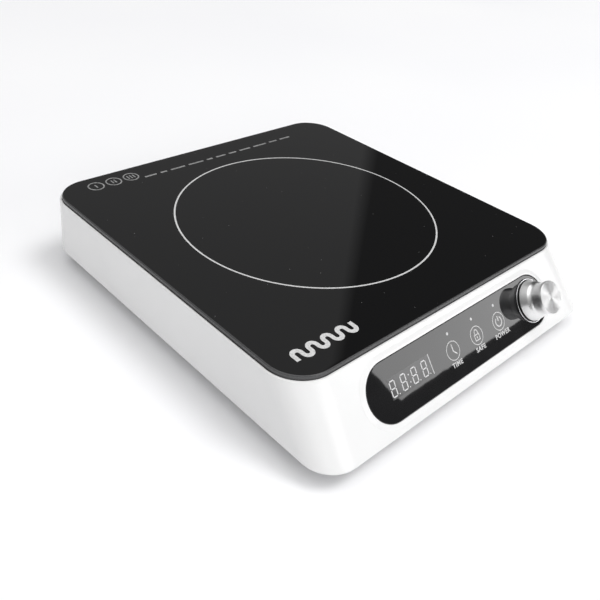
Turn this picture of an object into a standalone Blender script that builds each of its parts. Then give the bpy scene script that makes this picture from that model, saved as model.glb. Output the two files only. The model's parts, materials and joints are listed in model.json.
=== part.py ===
"""Portable induction cooktop with a square glass plate and a sloping front panel.

The frame has +Z up, the front panel faces -Y, and the origin is at the middle of the
object's box, on the surface it stands on. Run it with blender --background --python part.py
or from Blender's text editor.
"""

import math

import bmesh
import bpy
from mathutils import Matrix, Vector

MM = 0.001
GAP = 0.3 * MM  # left between pieces that touch
TAU = 2 * math.pi

# Heights above the surface that the cooktop stands on
FOOT_HEIGHT = 8 * MM
SHELL_BOTTOM = 12 * MM
RIM_TOP = 55 * MM
GLASS_PROUD = 3 * MM  # how far the glass stands above the rim
BASE_FLOOR = 2 * MM

# Glass plate and its seat
GLASS_SIDE = 280 * MM
GLASS_THICK = 4 * MM
GLASS_CORNER = 25 * MM
GLASS_BEVEL = 0.9 * MM
SEAL_THICK = 0.9 * MM
SEAL_WIDTH = 8 * MM
LEDGE_WIDTH = 12 * MM
LEDGE_THICK = 2.2 * MM
LEDGE_CORNER = 30 * MM

# Housing shell
RIM_WIDTH = 1.6 * MM
RIM_ROUND = 0.8 * MM
SIDE_FLARE = 2 * MM  # how much wider the shell is at its bottom edge, each side
REAR_FLARE = 4 * MM
FRONT_FLARE = 34.5 * MM  # run of the sloping front
WALL = 2.5 * MM
FRONT_WALL = 3.2 * MM
FRONT_CORNER_BOTTOM = 22 * MM
REAR_CORNER_BOTTOM = 30 * MM
EDGE_ROUND = 1.2 * MM
CORNER_STEPS = 7

# Base tray
BASE_INSET = 7 * MM
LIP_HEIGHT = 3 * MM
LIP_WALL = 1.8 * MM
LIP_GAP = 0.6 * MM  # between the lip and the shell
INTAKE_SLOTS = 9
INTAKE_MARGIN = 6.5 * MM  # from the outer slots' middles to the fan's bore
INTAKE_SLOT = 3.6 * MM
REAR_SLOTS = 15
REAR_SLOT_PITCH = 8 * MM
REAR_SLOT = 3 * MM
REAR_SLOT_HEIGHT = 14 * MM
REAR_SLOT_Z = 28 * MM
REAR_SLOTS_X = -34 * MM

# Feet, housing screws and bosses
REAR_FOOT_INSET = 18 * MM  # from the glass plate's edges
FRONT_FOOT_INSET = 20 * MM
FRONT_FOOT_SETBACK = 24.5 * MM  # behind the slope's foot, from the glass plate's edge
FOOT_RADIUS = 9 * MM
FOOT_HEAD_DEPTH = 3.5 * MM
SCREW_SHANK = 1.6 * MM
SCREW_HEAD = 3.6 * MM
BOSS_RADIUS = 4.5 * MM
FRONT_BOSS_DROP = 1.85 * MM  # of the boss's top below the inside of the slope over its middle
BOSS_BITE = 11 * MM  # how far a housing screw goes into its boss

# Control panel, in the frame of the sloping front
PANEL_LENGTH = 195 * MM
PANEL_HEIGHT = 38.5 * MM
PANEL_DROP = 26 * MM  # from the shell's shoulder down the slope to the panel's middle
PAD_RAISE = 0.8 * MM
PAD_LAND = 1.3 * MM
PAD_BEVEL = 3 * MM
LENS_THICK = 2 * MM
LENS_BEVEL = 0.3 * MM

# Behind the panel
DISPLAY = (40 * MM, 14 * MM)
DISPLAY_X = -58 * MM
KEY_X = (-15.5 * MM, 10.8 * MM, 37.1 * MM)
KEY_RADIUS = 6.3 * MM
LED_UP = 11.9 * MM  # indicator lamps above the panel's middle line
LED_RADIUS = 1.5 * MM
BOARD_THICK = 1.6 * MM
BOARD_DEPTH = 7 * MM  # front face of the control board behind the shell's outside
CONTROL_BOARD = (186 * MM, 31 * MM)
BOARD_POST_X = 88 * MM
SPRING_COIL = 3.5 * MM
SPRING_WIRE = 0.35 * MM
SPRING_TURNS = 4

# Knob and rotary encoder
KNOB_HEIGHT = 18 * MM
KNOB_SKIRT = 15.2 * MM
KNOB_GRIP = 12 * MM
KNOB_WAIST = 11.4 * MM
KNOB_BASE = 1.5 * MM
SHAFT_RADIUS = 2.6 * MM
BUSH_WALL = 0.9 * MM
RING_SHOWN = 1.2 * MM  # how far the ring stands out round the skirt
RING_UNDER = 2.2 * MM
RING_THICK = 0.8 * MM
NUT_THICK = 2 * MM
ENCODER_SIDE = 12 * MM

# Induction coil and what carries it
COIL_INNER = 26 * MM
COIL_OUTER = 86 * MM
COIL_TURNS = 11
COIL_WIRE = (4.2 * MM, 4.2 * MM)
COIL_STEPS = 20
FORMER_MARGIN = 6 * MM
FORMER_THICK = 2.5 * MM
FORMER_DROP = 16 * MM  # of the former's underside below the glass
EAR_RADIUS = 6 * MM
FERRITES = 6
FERRITE_SECTION = (12 * MM, 3.3 * MM)
FERRITE_START = 30 * MM
FERRITE_SHORT = 2 * MM  # how far the bars stop inside the coil's edge
MICA_THICK = 0.6 * MM
SENSOR_RADIUS = 5 * MM

# Cooling fan
FAN_FROM_EDGE = 65 * MM
FAN_Y = 60 * MM
FAN_SIDE = 82 * MM
FAN_THICK = 18 * MM
FAN_WALL = 2.5 * MM
BLADE_CLEARANCE = 1.5 * MM
FAN_HUB = 17 * MM
FAN_BLADES = 7
FAN_SHAFT = 1.5 * MM

# Power board
POWER_BOARD = (150 * MM, 135 * MM)
POWER_AT = (50 * MM, 22.5 * MM)
POWER_BOTTOM = 15 * MM

# Cord gland in the rear wall
GLAND_X = 92 * MM
GLAND_Z = 30 * MM
GLAND_BORE = 3.9 * MM
GLAND_BODY = 6 * MM
GLAND_FLANGE = 9 * MM
GLAND_FLANGE_THICK = 2 * MM
GLAND_PAD = 11 * MM
GLAND_PAD_DEPTH = 4 * MM

# Worked out from the sizes above
GLASS_TOP = RIM_TOP + GLASS_PROUD
GLASS_BOTTOM = GLASS_TOP - GLASS_THICK
LEDGE_TOP = GLASS_BOTTOM - 2 * GAP - SEAL_THICK
SHOULDER = RIM_TOP - RIM_ROUND
POCKET_HALF = GLASS_SIDE / 2 + 1.3 * GAP
TOP_HALF = POCKET_HALF + RIM_WIDTH
TOP_CORNER = GLASS_CORNER + TOP_HALF - GLASS_SIDE / 2
BOTTOM_HALF = TOP_HALF + SIDE_FLARE
FRONT_BOTTOM = TOP_HALF + FRONT_FLARE
REAR_BOTTOM = TOP_HALF + REAR_FLARE
SLOPE_LENGTH = math.hypot(FRONT_FLARE, SHOULDER - SHELL_BOTTOM)
SLOPE_RUN = FRONT_FLARE / SLOPE_LENGTH
SLOPE_FALL = (SHOULDER - SHELL_BOTTOM) / SLOPE_LENGTH
PANEL_TILT = math.atan2(SLOPE_FALL, SLOPE_RUN)  # of the front's normal from straight up
REAR_FOOT = (GLASS_SIDE / 2 - REAR_FOOT_INSET, GLASS_SIDE / 2 - REAR_FOOT_INSET)
FRONT_FOOT = (GLASS_SIDE / 2 - FRONT_FOOT_INSET, FRONT_FOOT_SETBACK - FRONT_FLARE - GLASS_SIDE / 2)
SLOPE_OVER_FOOT = SHELL_BOTTOM + (FRONT_BOTTOM + FRONT_FOOT[1]) * SLOPE_FALL / SLOPE_RUN
FRONT_BOSS_TOP = SLOPE_OVER_FOOT - FRONT_WALL / SLOPE_RUN - FRONT_BOSS_DROP
PANEL_Y = -TOP_HALF - PANEL_DROP * SLOPE_RUN
PANEL_Z = SHOULDER - PANEL_DROP * SLOPE_FALL
LENS_TOP = PAD_RAISE
LENS_BOTTOM = LENS_TOP - LENS_THICK
POCKET_FLOOR = LENS_BOTTOM - GAP
KNOB_X = PANEL_LENGTH / 2 - PANEL_HEIGHT / 2
BOARD_FRONT = -BOARD_DEPTH
PARTS_BACK = BOARD_FRONT + GAP  # where the parts on the control board start
BUSH_BORE = SHAFT_RADIUS + 1.3 * GAP
BUSH_OUTER = BUSH_BORE + BUSH_WALL
PANEL_BORE = BUSH_OUTER + 1.3 * GAP
RING_OUTER = KNOB_SKIRT + RING_SHOWN
RING_INNER = KNOB_SKIRT - RING_UNDER
BASE_TOP = FOOT_HEIGHT + BASE_FLOOR
FORMER_BOTTOM = GLASS_BOTTOM - FORMER_DROP
FORMER_RADIUS = COIL_OUTER + FORMER_MARGIN
EAR_REACH = FORMER_RADIUS + EAR_RADIUS
FERRITE = (COIL_OUTER - FERRITE_SHORT - FERRITE_START, *FERRITE_SECTION)
FAN_AT = (FAN_FROM_EDGE - GLASS_SIDE / 2, FAN_Y)
FAN_BORE = FAN_SIDE / 2 - FAN_WALL
FAN_BLADE_TIP = FAN_BORE - BLADE_CLEARANCE
INTAKE_PITCH = 2 * (FAN_BORE - INTAKE_MARGIN) / (INTAKE_SLOTS - 1)
FORMER_TOP = FORMER_BOTTOM + FORMER_THICK
COIL_BOTTOM = FORMER_TOP + GAP
COIL_TOP = COIL_BOTTOM + COIL_WIRE[1]
FAN_BOTTOM = BASE_TOP + GAP
POWER_TOP = POWER_BOTTOM + BOARD_THICK
ON_POWER = POWER_TOP + GAP
REAR_WALL_SLOPE = REAR_FLARE / (SHOULDER - SHELL_BOTTOM)
LIP_SHARE = LIP_HEIGHT / (SHOULDER - SHELL_BOTTOM)
LIP_INSET = WALL + max(SIDE_FLARE, REAR_FLARE) * LIP_SHARE + LIP_GAP
FRONT_LIP_INSET = FRONT_WALL / SLOPE_FALL + FRONT_FLARE * LIP_SHARE + LIP_GAP
GLAND_WALL_Y = TOP_HALF + (SHOULDER - GLAND_Z - GLAND_FLANGE - 2 * GAP) * REAR_WALL_SLOPE
GLAND_SEAT_Y = GLAND_WALL_Y - 0.8 * MM


def knob_profile():
    """(radius, height above the lens) from the middle of the front face round to the bore's end."""
    bore = SHAFT_RADIUS + GAP
    nut_room = 2 * GAP + NUT_THICK + 1.2 * MM
    skirt_inner = KNOB_SKIRT - 1.8 * MM
    return [
        (0, KNOB_HEIGHT),
        (KNOB_GRIP - 0.5 * MM, KNOB_HEIGHT),
        (KNOB_GRIP, KNOB_HEIGHT - 0.5 * MM),
        (KNOB_GRIP, KNOB_HEIGHT - 1.6 * MM),
        (KNOB_WAIST + 0.2 * MM, KNOB_HEIGHT - 4.5 * MM),
        (KNOB_WAIST, KNOB_HEIGHT - 7.5 * MM),
        (KNOB_WAIST + 0.3 * MM, KNOB_BASE + 6.2 * MM),
        (KNOB_GRIP + 0.6 * MM, KNOB_BASE + 5.1 * MM),
        (KNOB_SKIRT - 0.6 * MM, KNOB_BASE + 4.5 * MM),
        (KNOB_SKIRT, KNOB_BASE + 3.7 * MM),
        (KNOB_SKIRT, KNOB_BASE + 0.4 * MM),
        (KNOB_SKIRT - 0.4 * MM, KNOB_BASE),
        (skirt_inner, KNOB_BASE),
        (skirt_inner, nut_room + 0.6 * MM),
        (bore + 2.4 * MM, nut_room + 0.6 * MM),
        (bore + 2.4 * MM, nut_room),
        (bore, nut_room),
        (bore, KNOB_HEIGHT - 4 * MM),
        (0, KNOB_HEIGHT - 4 * MM),
    ]


def front_most():
    """How far in front of the glass's middle the knob's nearest edge is."""
    reach = max(
        (LENS_TOP + height) * math.sin(PANEL_TILT) + radius * math.cos(PANEL_TILT)
        for radius, height in knob_profile()
    )
    return max(FRONT_BOTTOM, reach - PANEL_Y)


GLASS_MIDDLE_Y = (front_most() - REAR_BOTTOM) / 2


# Outlines and shapes


def rounded(half, front, rear, front_corner, rear_corner, steps=CORNER_STEPS):
    """A rectangle's outline with round corners, anticlockwise from the middle of the right side."""
    corners = (
        (half - rear_corner, rear - rear_corner, rear_corner, 0),
        (-half + rear_corner, rear - rear_corner, rear_corner, 1),
        (-half + front_corner, front + front_corner, front_corner, 2),
        (half - front_corner, front + front_corner, front_corner, 3),
    )
    return [
        (x + radius * math.cos(angle), y + radius * math.sin(angle))
        for x, y, radius, quarter in corners
        for angle in (TAU / 4 * (quarter + step / steps) for step in range(steps + 1))
    ]


def square(half, corner):
    return rounded(half, -half, half, corner, corner)


def stadium(length, height, steps=12):
    """A capsule's outline, anticlockwise."""
    radius = height / 2
    return [
        (side * (length / 2 - radius) + radius * math.cos(angle), radius * math.sin(angle))
        for side, start in ((1, -TAU / 4), (-1, TAU / 4))
        for angle in (start + TAU / 2 * step / steps for step in range(steps + 1))
    ]


def circle(radius, steps=24, middle=(0, 0)):
    angles = [TAU * step / steps for step in range(steps)]
    return [(middle[0] + radius * math.cos(a), middle[1] + radius * math.sin(a)) for a in angles]


def at_height(outline, height):
    return [(x, y, height) for x, y in outline]


def shell_ring(height, inset=0.0, front_inset=0.0):
    """The shell's outline at a height, in by inset at the sides and by front_inset square to the front."""
    share = (height - SHELL_BOTTOM) / (SHOULDER - SHELL_BOTTOM)
    half = BOTTOM_HALF + (TOP_HALF - BOTTOM_HALF) * share - inset
    front = FRONT_BOTTOM + (TOP_HALF - FRONT_BOTTOM) * share - front_inset / SLOPE_FALL
    rear = REAR_BOTTOM + (TOP_HALF - REAR_BOTTOM) * share - inset
    front_corner = FRONT_CORNER_BOTTOM + (TOP_CORNER - FRONT_CORNER_BOTTOM) * share - inset
    rear_corner = REAR_CORNER_BOTTOM + (TOP_CORNER - REAR_CORNER_BOTTOM) * share - inset
    return at_height(rounded(half, -front, rear, front_corner, rear_corner), height)


def base_ring(height, inset, front_inset=None):
    """The shell's bottom outline, moved in level all round, at another height."""
    front_inset = inset if front_inset is None else front_inset
    return at_height(
        rounded(
            BOTTOM_HALF - inset,
            -FRONT_BOTTOM + front_inset,
            REAR_BOTTOM - inset,
            FRONT_CORNER_BOTTOM - inset,
            REAR_CORNER_BOTTOM - inset,
        ),
        height,
    )


def bridge(bm, first, second):
    """Faces between two rings of points; a ring of one point makes a fan."""
    count = max(len(first), len(second))
    for step in range(count):
        after = (step + 1) % count
        corners = [first[step % len(first)], first[after % len(first)]]
        corners += [second[after % len(second)], second[step % len(second)]]
        bm.faces.new(list(dict.fromkeys(corners)))


def skin(rings, closed=False):
    """A solid through rings of points: closed joins the last to the first, otherwise the ends are capped."""
    bm = bmesh.new()
    made = [[bm.verts.new(point) for point in ring] for ring in rings]
    for first, second in zip(made, made[1:]):
        bridge(bm, first, second)
    if closed:
        bridge(bm, made[-1], made[0])
    else:
        for end in (made[0], made[-1]):
            if len(end) > 2:
                bm.faces.new(end)
    bmesh.ops.recalc_face_normals(bm, faces=bm.faces)
    return bm


def prism(outline, low, high):
    return skin([at_height(outline, low), at_height(outline, high)])


def block(size, middle, bottom):
    """A box of (x, y, z) size with its middle at (x, y) and its bottom at a height."""
    bm = bmesh.new()
    centre = Vector((middle[0], middle[1], bottom + size[2] / 2))
    bmesh.ops.create_cube(bm, size=1, matrix=Matrix.LocRotScale(centre, None, Vector(size)))
    return bm


def turned(profile, steps=24, closed=False):
    """A solid of revolution about Z from (radius, height) points."""
    rings = [
        [(0, 0, height)] if radius == 0 else at_height(circle(radius, steps), height)
        for radius, height in profile
    ]
    return skin(rings, closed)


def rod(radius, low, high, middle=(0, 0), steps=16):
    return prism(circle(radius, steps, middle), low, high)


def moved(bm, offset=(0, 0, 0), turn=0.0):
    """A shape turned about Z, then moved."""
    bmesh.ops.rotate(bm, verts=bm.verts, matrix=Matrix.Rotation(turn, 3, "Z"))
    bmesh.ops.translate(bm, verts=bm.verts, vec=offset)
    return bm


def together(shapes):
    """Several shapes as one mesh, for cutters and for what a union joins."""
    bm = bmesh.new()
    for shape in shapes:
        mesh = bpy.data.meshes.new("piece")
        shape.to_mesh(mesh)
        shape.free()
        bm.from_mesh(mesh)
        bpy.data.meshes.remove(mesh)
    return bm


# Objects, materials and modifiers


def finish(name, colour, roughness, metallic=0.0):
    material = bpy.data.materials.new(name)
    material.use_nodes = True
    shader = material.node_tree.nodes["Principled BSDF"]
    shader.inputs["Base Color"].default_value = (*colour, 1)
    shader.inputs["Roughness"].default_value = roughness
    shader.inputs["Metallic"].default_value = metallic
    return material


def add_mesh(name, bm, parent, location=(0, 0, 0), material=None, smooth=True):
    mesh = bpy.data.meshes.new(name)
    bm.to_mesh(mesh)
    bm.free()
    obj = bpy.data.objects.new(name, mesh)
    bpy.context.scene.collection.objects.link(obj)
    obj.parent = parent
    obj.location = location
    if material:
        mesh.materials.append(material)
    if smooth:
        mesh.shade_smooth()
        mesh.set_sharp_from_angle(angle=math.radians(35))
    return obj


def helper(obj):
    obj.hide_render = True
    obj.display_type = "WIRE"
    return obj


def change(obj, operation, bm, parent=None, location=(0, 0, 0)):
    """Cuts a shape from obj or joins one to it, with a Boolean that stays on it."""
    name = f"{obj.name}_{operation.lower()}_{len(obj.modifiers)}"
    other = helper(add_mesh(name, bm, parent or obj.parent, location, smooth=False))
    modifier = obj.modifiers.new(name, "BOOLEAN")
    modifier.operation = operation
    modifier.object = other
    modifier.solver = "EXACT"


def cut(obj, bm, **place):
    change(obj, "DIFFERENCE", bm, **place)


def join(obj, bm, **place):
    change(obj, "UNION", bm, **place)


def bevel(obj, width, segments=1, angle=40):
    modifier = obj.modifiers.new("bevel", "BEVEL")
    modifier.width = width
    modifier.segments = segments
    modifier.limit_method = "ANGLE"
    modifier.angle_limit = math.radians(angle)


def smooth_route(points, spacing):
    """Points about a spacing apart on a smooth curve through the given ones."""
    known = [Vector(point) for point in points]
    known = [2 * known[0] - known[1], *known, 2 * known[-1] - known[-2]]
    route = []
    for before, start, end, after in zip(known, known[1:], known[2:], known[3:]):
        steps = max(1, round((end - start).length / spacing))
        for step in range(steps):
            t = step / steps
            route.append(
                0.5
                * (
                    2 * start
                    + (end - before) * t
                    + (2 * before - 5 * start + 4 * end - after) * t**2
                    + (3 * start - before - 3 * end + after) * t**3
                )
            )
    return [*route, known[-2]]


def tube(name, points, radius, material, parent, sides=2):
    """A wire or lead along points, with closed ends."""
    curve = bpy.data.curves.new(name, "CURVE")
    curve.dimensions = "3D"
    spline = curve.splines.new("POLY")
    spline.points.add(len(points) - 1)
    for spot, point in zip(spline.points, points):
        spot.co = (*point, 1)
    curve.bevel_depth = radius
    curve.bevel_resolution = sides
    curve.use_fill_caps = True
    curve.materials.append(material)
    obj = bpy.data.objects.new(name, curve)
    bpy.context.scene.collection.objects.link(obj)
    obj.parent = parent
    return obj


def screw_shape(shank, head, length, head_thick, steps=16):
    """A pan-head screw with its point at height 0 and its head on top."""
    return turned(
        [
            (0, 0),
            (shank, 0.8 * MM),
            (shank, length),
            (head, length),
            (head, length + head_thick * 0.55),
            (head * 0.72, length + head_thick),
            (0, length + head_thick),
        ],
        steps,
    )


# Housing, base and glass


def make_housing(root, panel, white):
    ledge_low = LEDGE_TOP - LEDGE_THICK
    ledge_edge = square(GLASS_SIDE / 2 - LEDGE_WIDTH, LEDGE_CORNER)
    pocket = square(POCKET_HALF, GLASS_CORNER + POCKET_HALF - GLASS_SIDE / 2)
    rim = square(TOP_HALF - RIM_ROUND, TOP_CORNER - RIM_ROUND)
    rim_side = square(TOP_HALF - 0.29 * RIM_ROUND, TOP_CORNER - 0.29 * RIM_ROUND)
    rings = [
        shell_ring(SHELL_BOTTOM, WALL, FRONT_WALL),
        shell_ring(ledge_low, WALL, FRONT_WALL),
        at_height(ledge_edge, ledge_low),
        at_height(ledge_edge, LEDGE_TOP),
        at_height(pocket, LEDGE_TOP),
        at_height(pocket, RIM_TOP),
        at_height(rim, RIM_TOP),
        at_height(rim_side, RIM_TOP - 0.29 * RIM_ROUND),
        shell_ring(SHOULDER),
        shell_ring(SHELL_BOTTOM + EDGE_ROUND),
        shell_ring(SHELL_BOTTOM + 0.3 * EDGE_ROUND, 0.3 * EDGE_ROUND, 0.3 * EDGE_ROUND),
        shell_ring(SHELL_BOTTOM, EDGE_ROUND, EDGE_ROUND),
    ]
    housing = add_mesh("upper_housing", skin(rings, closed=True), root, material=white)
    add_panel_seat(housing, panel)
    add_bosses(housing, root, ledge_low)
    add_gland_seat(housing, root)
    slots = [
        block((REAR_SLOT, 12 * MM, REAR_SLOT_HEIGHT), (rear_slot_x(i), TOP_HALF), rear_slot_low())
        for i in range(REAR_SLOTS)
    ]
    cut(housing, together(slots))
    return housing


def rear_slot_x(index):
    return REAR_SLOTS_X + (index - (REAR_SLOTS - 1) / 2) * REAR_SLOT_PITCH


def rear_slot_low():
    return REAR_SLOT_Z - REAR_SLOT_HEIGHT / 2


def add_panel_seat(housing, panel):
    """The raised pad round the lens, its pocket, the openings behind it and the board's posts."""
    land = 2 * PAD_LAND
    foot = land + 2 * PAD_BEVEL
    length, height = PANEL_LENGTH, PANEL_HEIGHT
    pad = [
        at_height(stadium(length + foot, height + foot), -1.2 * MM),
        at_height(stadium(length + foot, height + foot), 0.05 * MM),
        at_height(stadium(length + land, height + land), PAD_RAISE),
    ]
    join(housing, skin(pad), parent=panel)
    room = 2 * GAP
    cut(housing, prism(stadium(length + room, height + room), POCKET_FLOOR, 5 * MM), parent=panel)
    deep = -FRONT_WALL - 2 * MM
    window = block((DISPLAY[0] + 1 * MM, DISPLAY[1] + 1 * MM, 12 * MM), (DISPLAY_X, 0), deep)
    holes = [window, rod(PANEL_BORE, deep, 5 * MM, (KNOB_X, 0), 24)]
    for x in KEY_X:
        holes.append(rod(SPRING_COIL + 1.3 * MM, deep, 5 * MM, (x, 0)))
        holes.append(rod(LED_RADIUS + 0.5 * MM, deep, 5 * MM, (x, LED_UP), 12))
    cut(housing, together(holes), parent=panel)
    posts = [
        rod(3 * MM, BOARD_FRONT + GAP, -FRONT_WALL + 0.6 * MM, (side * BOARD_POST_X, -9 * MM), 12)
        for side in (-1, 1)
    ]
    join(housing, together(posts), parent=panel)
    pilots = [
        rod(1.3 * MM, BOARD_FRONT - 1 * MM, -FRONT_WALL + 0.2 * MM, (side * BOARD_POST_X, -9 * MM), 12)
        for side in (-1, 1)
    ]
    cut(housing, together(pilots), parent=panel)


def foot_places():
    """(name, x, y, top of the screw boss) of each foot."""
    rear_top = LEDGE_TOP - LEDGE_THICK / 2
    return [
        ("front_left", -FRONT_FOOT[0], FRONT_FOOT[1], FRONT_BOSS_TOP),
        ("front_right", FRONT_FOOT[0], FRONT_FOOT[1], FRONT_BOSS_TOP),
        ("rear_left", -REAR_FOOT[0], REAR_FOOT[1], rear_top),
        ("rear_right", REAR_FOOT[0], REAR_FOOT[1], rear_top),
    ]


def add_bosses(housing, root, ledge_low):
    low = BASE_TOP + GAP
    bosses = [rod(BOSS_RADIUS, low, top, (x, y)) for _, x, y, top in foot_places()]
    join(housing, together(bosses), parent=root)
    bore = SCREW_SHANK + GAP
    holes = [
        rod(bore, low - 1 * MM, low + BOSS_BITE + 2 * MM, (x, y), 12) for _, x, y, _ in foot_places()
    ]
    cut(housing, together(holes), parent=root)


def along_y(bm, x, start, z):
    """A shape made along Z laid along +Y from a point."""
    bmesh.ops.rotate(bm, verts=bm.verts, matrix=Matrix.Rotation(-TAU / 4, 3, "X"))
    bmesh.ops.translate(bm, verts=bm.verts, vec=(x, start, z))
    return bm


def add_gland_seat(housing, root):
    """A thick round pad inside the rear wall, with a flat seat and a hole for the gland."""
    inner_face = GLAND_SEAT_Y - WALL - GLAND_PAD_DEPTH / 2
    pad = rod(GLAND_PAD, 0, GLAND_WALL_Y - inner_face, steps=24)
    join(housing, along_y(pad, GLAND_X, inner_face, GLAND_Z), parent=root)
    seat = rod(GLAND_FLANGE + 1.5 * GAP, 0, 10 * MM, steps=24)
    cut(housing, along_y(seat, GLAND_X, GLAND_SEAT_Y, GLAND_Z), parent=root)
    hole = rod(GLAND_BODY + GAP, 0, 30 * MM, steps=24)
    cut(housing, along_y(hole, GLAND_X, inner_face - 5 * MM, GLAND_Z), parent=root)


def make_gland(root, rubber):
    """A turned bush: flange outside the wall, body through it and a snap collar inside."""
    inner_face = GLAND_SEAT_Y - WALL - GLAND_PAD_DEPTH / 2
    through = GLAND_SEAT_Y - inner_face + 2 * GAP
    collar = 1.6 * MM
    tip = 2.4 * MM
    profile = [
        (GLAND_BORE, -through - tip),
        (GLAND_BORE, GLAND_FLANGE_THICK),
        (GLAND_FLANGE - 1 * MM, GLAND_FLANGE_THICK),
        (GLAND_FLANGE, GLAND_FLANGE_THICK - 1 * MM),
        (GLAND_FLANGE, 0),
        (GLAND_BODY, 0),
        (GLAND_BODY, -through),
        (GLAND_BODY + collar, -through),
        (GLAND_BODY, -through - tip),
    ]
    bush = along_y(turned(profile, 24, closed=True), GLAND_X, GLAND_SEAT_Y + GAP, GLAND_Z)
    add_mesh("cord_gland", bush, root, material=rubber)


def make_base(root, grey):
    rings = [
        base_ring(FOOT_HEIGHT, BASE_INSET),
        base_ring(SHELL_BOTTOM - GAP, EDGE_ROUND),
        base_ring(SHELL_BOTTOM - GAP, LIP_INSET, FRONT_LIP_INSET),
        base_ring(SHELL_BOTTOM + LIP_HEIGHT, LIP_INSET, FRONT_LIP_INSET),
        base_ring(SHELL_BOTTOM + LIP_HEIGHT, LIP_INSET + LIP_WALL, FRONT_LIP_INSET + LIP_WALL),
        base_ring(BASE_TOP, BASE_INSET + 2.5 * MM, FRONT_LIP_INSET + 2 * LIP_WALL),
    ]
    base = add_mesh("base_tray", skin(rings), root, material=grey)
    join(base, together(base_posts()), parent=root)
    cut(base, together(base_holes()), parent=root)
    return base


def coil_post_places():
    return [
        (EAR_REACH * math.cos(TAU * i / 4), EAR_REACH * math.sin(TAU * i / 4)) for i in range(4)
    ]


def power_pin_places():
    half_x, half_y = POWER_BOARD[0] / 2 - 6 * MM, POWER_BOARD[1] / 2 - 6 * MM
    return [(POWER_AT[0] + sx * half_x, POWER_AT[1] + sy * half_y) for sx in (-1, 1) for sy in (-1, 1)]


def fan_pin_places():
    reach = FAN_SIDE / 2 - 5.5 * MM
    return [(FAN_AT[0] + sx * reach, FAN_AT[1] + sy * reach) for sx, sy in ((-1, -1), (1, 1))]


def base_posts():
    """Posts for the coil former, and stepped pins for the power board and the fan."""
    low = BASE_TOP - 0.7 * MM
    posts = [rod(4 * MM, low, FORMER_BOTTOM - GAP, place) for place in coil_post_places()]
    for x, y in power_pin_places():
        pin = turned(
            [
                (0, low),
                (3.5 * MM, low),
                (3.5 * MM, POWER_BOTTOM - GAP),
                (1.3 * MM, POWER_BOTTOM - GAP),
                (1.3 * MM, POWER_TOP + 1.2 * MM),
                (0, POWER_TOP + 1.2 * MM),
            ],
            12,
        )
        posts.append(moved(pin, (x, y, 0)))
    posts += [rod(1.7 * MM, low, FAN_BOTTOM + 9 * MM, place, 12) for place in fan_pin_places()]
    return posts


def base_holes():
    """Screw holes, the coil screws' pilots and the air intake under the fan."""
    holes = [rod(2.2 * MM, FOOT_HEIGHT - 1 * MM, BASE_TOP + 1 * MM, (x, y), 12) for _, x, y, _ in foot_places()]
    holes += [
        rod(1.3 * MM, FORMER_BOTTOM - 9 * MM, FORMER_BOTTOM + 1 * MM, place, 12)
        for place in coil_post_places()
    ]
    for index in range(INTAKE_SLOTS):
        across = (index - (INTAKE_SLOTS - 1) / 2) * INTAKE_PITCH
        half = math.sqrt(max(0, (FAN_BORE - 1.5 * MM) ** 2 - across**2))
        middle = (FAN_AT[0] + across, FAN_AT[1])
        slot = (INTAKE_SLOT, 2 * half, 3 * BASE_FLOOR)
        holes.append(block(slot, middle, FOOT_HEIGHT - BASE_FLOOR))
    return holes


def make_glass(root, black_glass, silicone):
    low = at_height(square(GLASS_SIDE / 2, GLASS_CORNER), GLASS_BOTTOM)
    edge = at_height(square(GLASS_SIDE / 2, GLASS_CORNER), GLASS_TOP - GLASS_BEVEL)
    face = at_height(square(GLASS_SIDE / 2 - GLASS_BEVEL, GLASS_CORNER - GLASS_BEVEL), GLASS_TOP)
    add_mesh("glass_plate", skin([low, edge, face]), root, material=black_glass)
    outer = square(GLASS_SIDE / 2 - 1 * MM, GLASS_CORNER - 1 * MM)
    inner = square(GLASS_SIDE / 2 - 1 * MM - SEAL_WIDTH, GLASS_CORNER - 1 * MM - SEAL_WIDTH)
    bottom = LEDGE_TOP + GAP
    top = bottom + SEAL_THICK
    seal = [at_height(outer, bottom), at_height(outer, top), at_height(inner, top), at_height(inner, bottom)]
    add_mesh("glass_seal", skin(seal, closed=True), root, material=silicone)


def make_feet(root, rubber, steel):
    head_room = SCREW_HEAD + 0.8 * MM
    shank_room = SCREW_SHANK + 2 * GAP
    top = FOOT_HEIGHT - GAP
    profile = [
        (head_room, 0),
        (FOOT_RADIUS - 1.2 * MM, 0),
        (FOOT_RADIUS - 0.5 * MM, 0.8 * MM),
        (FOOT_RADIUS, top),
        (shank_room, top),
        (shank_room, FOOT_HEAD_DEPTH),
        (head_room, FOOT_HEAD_DEPTH),
    ]
    foot = None
    screw = None
    head_thick = 2.2 * MM
    length = BASE_TOP + GAP + BOSS_BITE - FOOT_HEAD_DEPTH + GAP
    for name, x, y, _ in foot_places():
        if foot is None:
            foot = add_mesh(f"foot_{name}", turned(profile, 20, closed=True), root, (x, y, 0), rubber)
            shape = screw_shape(SCREW_SHANK, SCREW_HEAD, length, head_thick)
            bmesh.ops.rotate(shape, verts=shape.verts, matrix=Matrix.Rotation(TAU / 2, 3, "X"))
            head_at = (x, y, FOOT_HEAD_DEPTH - GAP + length)
            screw = add_mesh(f"housing_screw_{name}", shape, root, head_at, steel)
            continue
        for source, label in ((foot, "foot"), (screw, "housing_screw")):
            copy = bpy.data.objects.new(f"{label}_{name}", source.data)
            bpy.context.scene.collection.objects.link(copy)
            copy.parent = root
            copy.location = (x, y, source.location.z)


# Control panel, its board and the knob


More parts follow.
